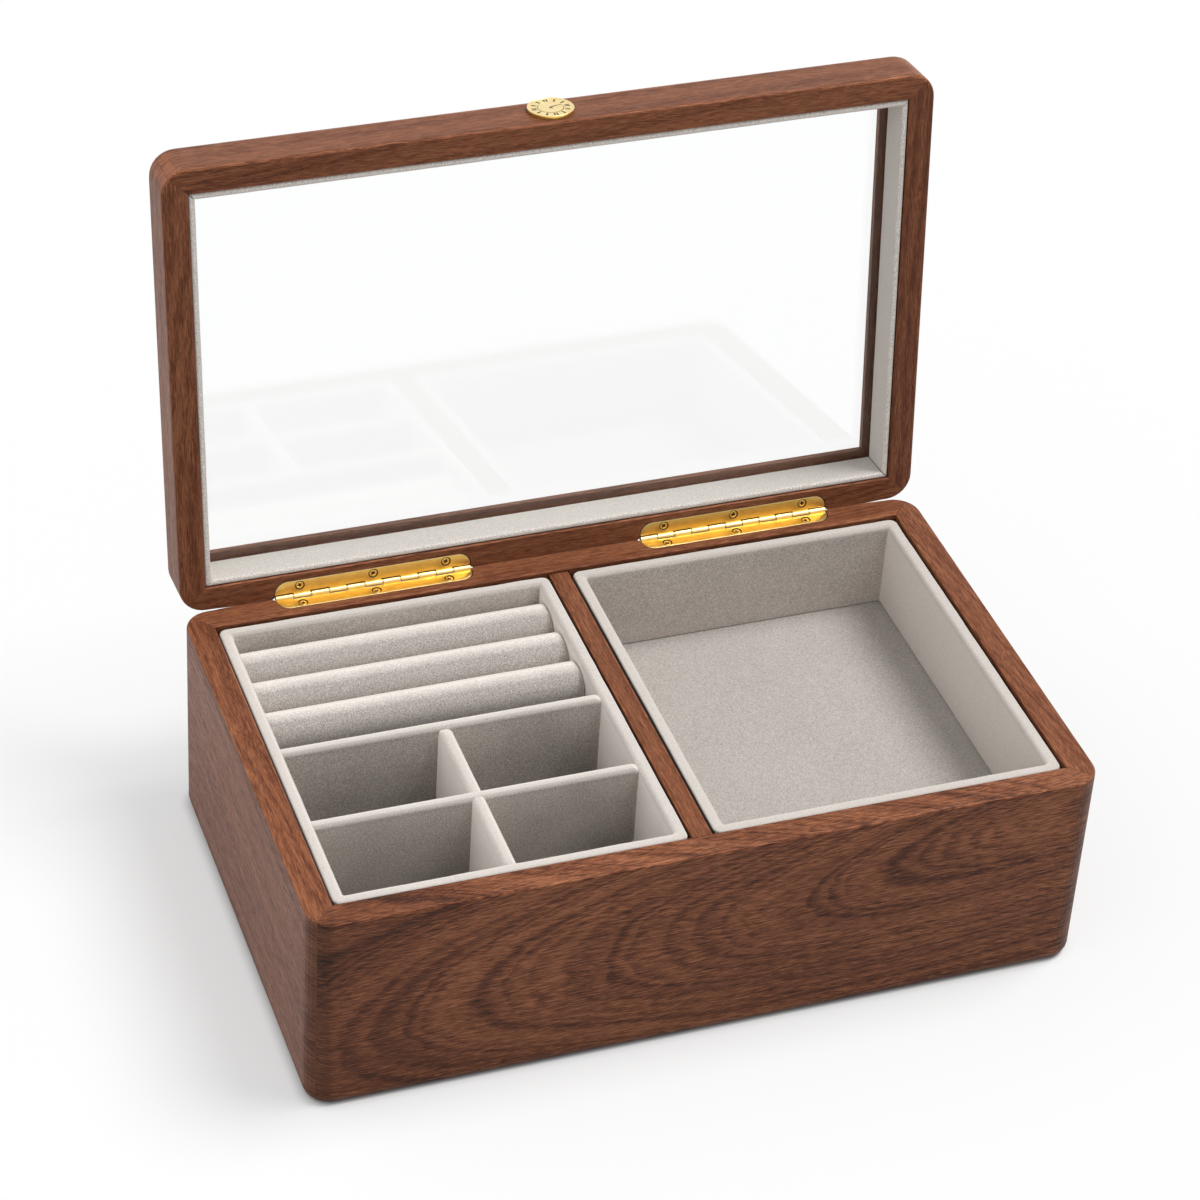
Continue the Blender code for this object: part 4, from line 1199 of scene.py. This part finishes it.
def dialSection(low, high, radius, field):
    # (distance from the middle, depth) from the face of the dial over its rim to the back
    looks = dialLooks
    top, front, inner = low + looks["sunk"], low + looks["front"], radius - looks["rim"]
    under = radius - looks["under"]
    return (
        (0.30 * mm, field), (2.5 * mm, field), (4.70 * mm, field),
        (4.78 * mm, field + 0.12 * mm), (4.92 * mm, field + 0.12 * mm), (5.0 * mm, field),
        (inner - 0.9 * mm, field), (inner - 0.12 * mm, field), (inner, top + 0.06 * mm),
        (inner + 0.08 * mm, top), (radius - 0.16 * mm, top), (radius - 0.03 * mm, top + 0.07 * mm),
        (radius, top + 0.2 * mm), (radius, front), (radius - 0.08 * mm, front + 0.08 * mm),
        (under, front + 0.12 * mm), (under, high),
    )


def makeDial():
    looks = dialLooks
    low, high = shutBox("lid_medallion")
    centreX, centreZ = (low.x + high.x) / 2, (low.z + high.z) / 2
    field = low.y + looks["sunk"] + looks["rise"]
    shape = bmesh.new()

    def place(x, y, z):
        return Vector((centreX + x, y, centreZ + z))

    section = dialSection(low.y, high.y, (high.x - low.x) / 2, field)
    rings = [[place(u, y, v) for u, v in circle(far, looks["cuts"])] for far, y in section]
    tints = {2: 1, 3: 1, 11: 2, 12: 2, 13: 2, 14: 1, 15: 2}
    addLoft(shape, rings, caps=True, slot=lambda step: tints.get(step, 0))

    def inlay(flat):
        # a dark enamelled mark, a hair proud of the disc
        proud = looks["inlay"]
        middle = sum(flat, Vector((0, 0))) / len(flat)
        rings = []
        for shrink, y in ((0, field + 0.1 * mm), (0, field - proud / 2), (proud, field - proud)):
            spots = [p - (p - middle).normalized() * shrink for p in flat]
            rings.append([place(p.x, y, p.y) for p in spots])
        addLoft(shape, rings, caps=True, slot=1)

    def bar(start, end, wideStart, wideEnd):
        along = (end - start).normalized()
        side = Vector((-along.y, along.x))
        atStart, atEnd = side * wideStart, side * wideEnd
        inlay([start - atStart, start + atStart, end + atEnd, end - atEnd])

    for hour, angle in enumerate(turns(12)):
        out = Vector((math.sin(angle), math.cos(angle)))
        side = Vector((out.y, -out.x))
        inner = out * (looks["marksAt"] - looks["markLong"])
        outer = out * (looks["marksAt"] + looks["markLong"])
        if hour % 3 == 0:  # a pair of bars at the quarters
            near, far = looks["pairApart"]
            for s in (-1, 1):
                bar(inner + side * s * near, outer + side * s * far, *looks["pairWide"])
        else:
            bar(inner, outer, *looks["markWide"])
    # a bent hand from the middle, as one ribbon
    steps = 14
    startX, long, startY, high = looks["hand"]
    wide, less = looks["handWide"]
    spine = [
        Vector((startX + long * k / steps, startY + high * math.sin(math.pi * 0.62 * k / steps)))
        for k in range(steps + 1)
    ]
    edges = []
    for k, spot in enumerate(spine):
        along = (spine[min(k + 1, steps)] - spine[max(k - 1, 0)]).normalized()
        side = Vector((-along.y, along.x)) * (wide - less * k / steps) * mm
        edges.append((spot - side, spot + side))
    for (lower, upper), (nextLower, nextUpper) in zip(edges, edges[1:]):
        inlay([lower, nextLower, nextUpper, upper])
    bar(Vector((-0.55, -0.05)) * mm, Vector((0.75, -1.15)) * mm, 0.30 * mm, 0.14 * mm)
    materials, stands = (paleBrassAndPaintedHighlight, patina, goldBrass), ["lid_medallion"]
    finishPiece("lid_medallion_dial", shape, "lid", materials, stands, sharp=25.0)


makeDial()
print("dial made")
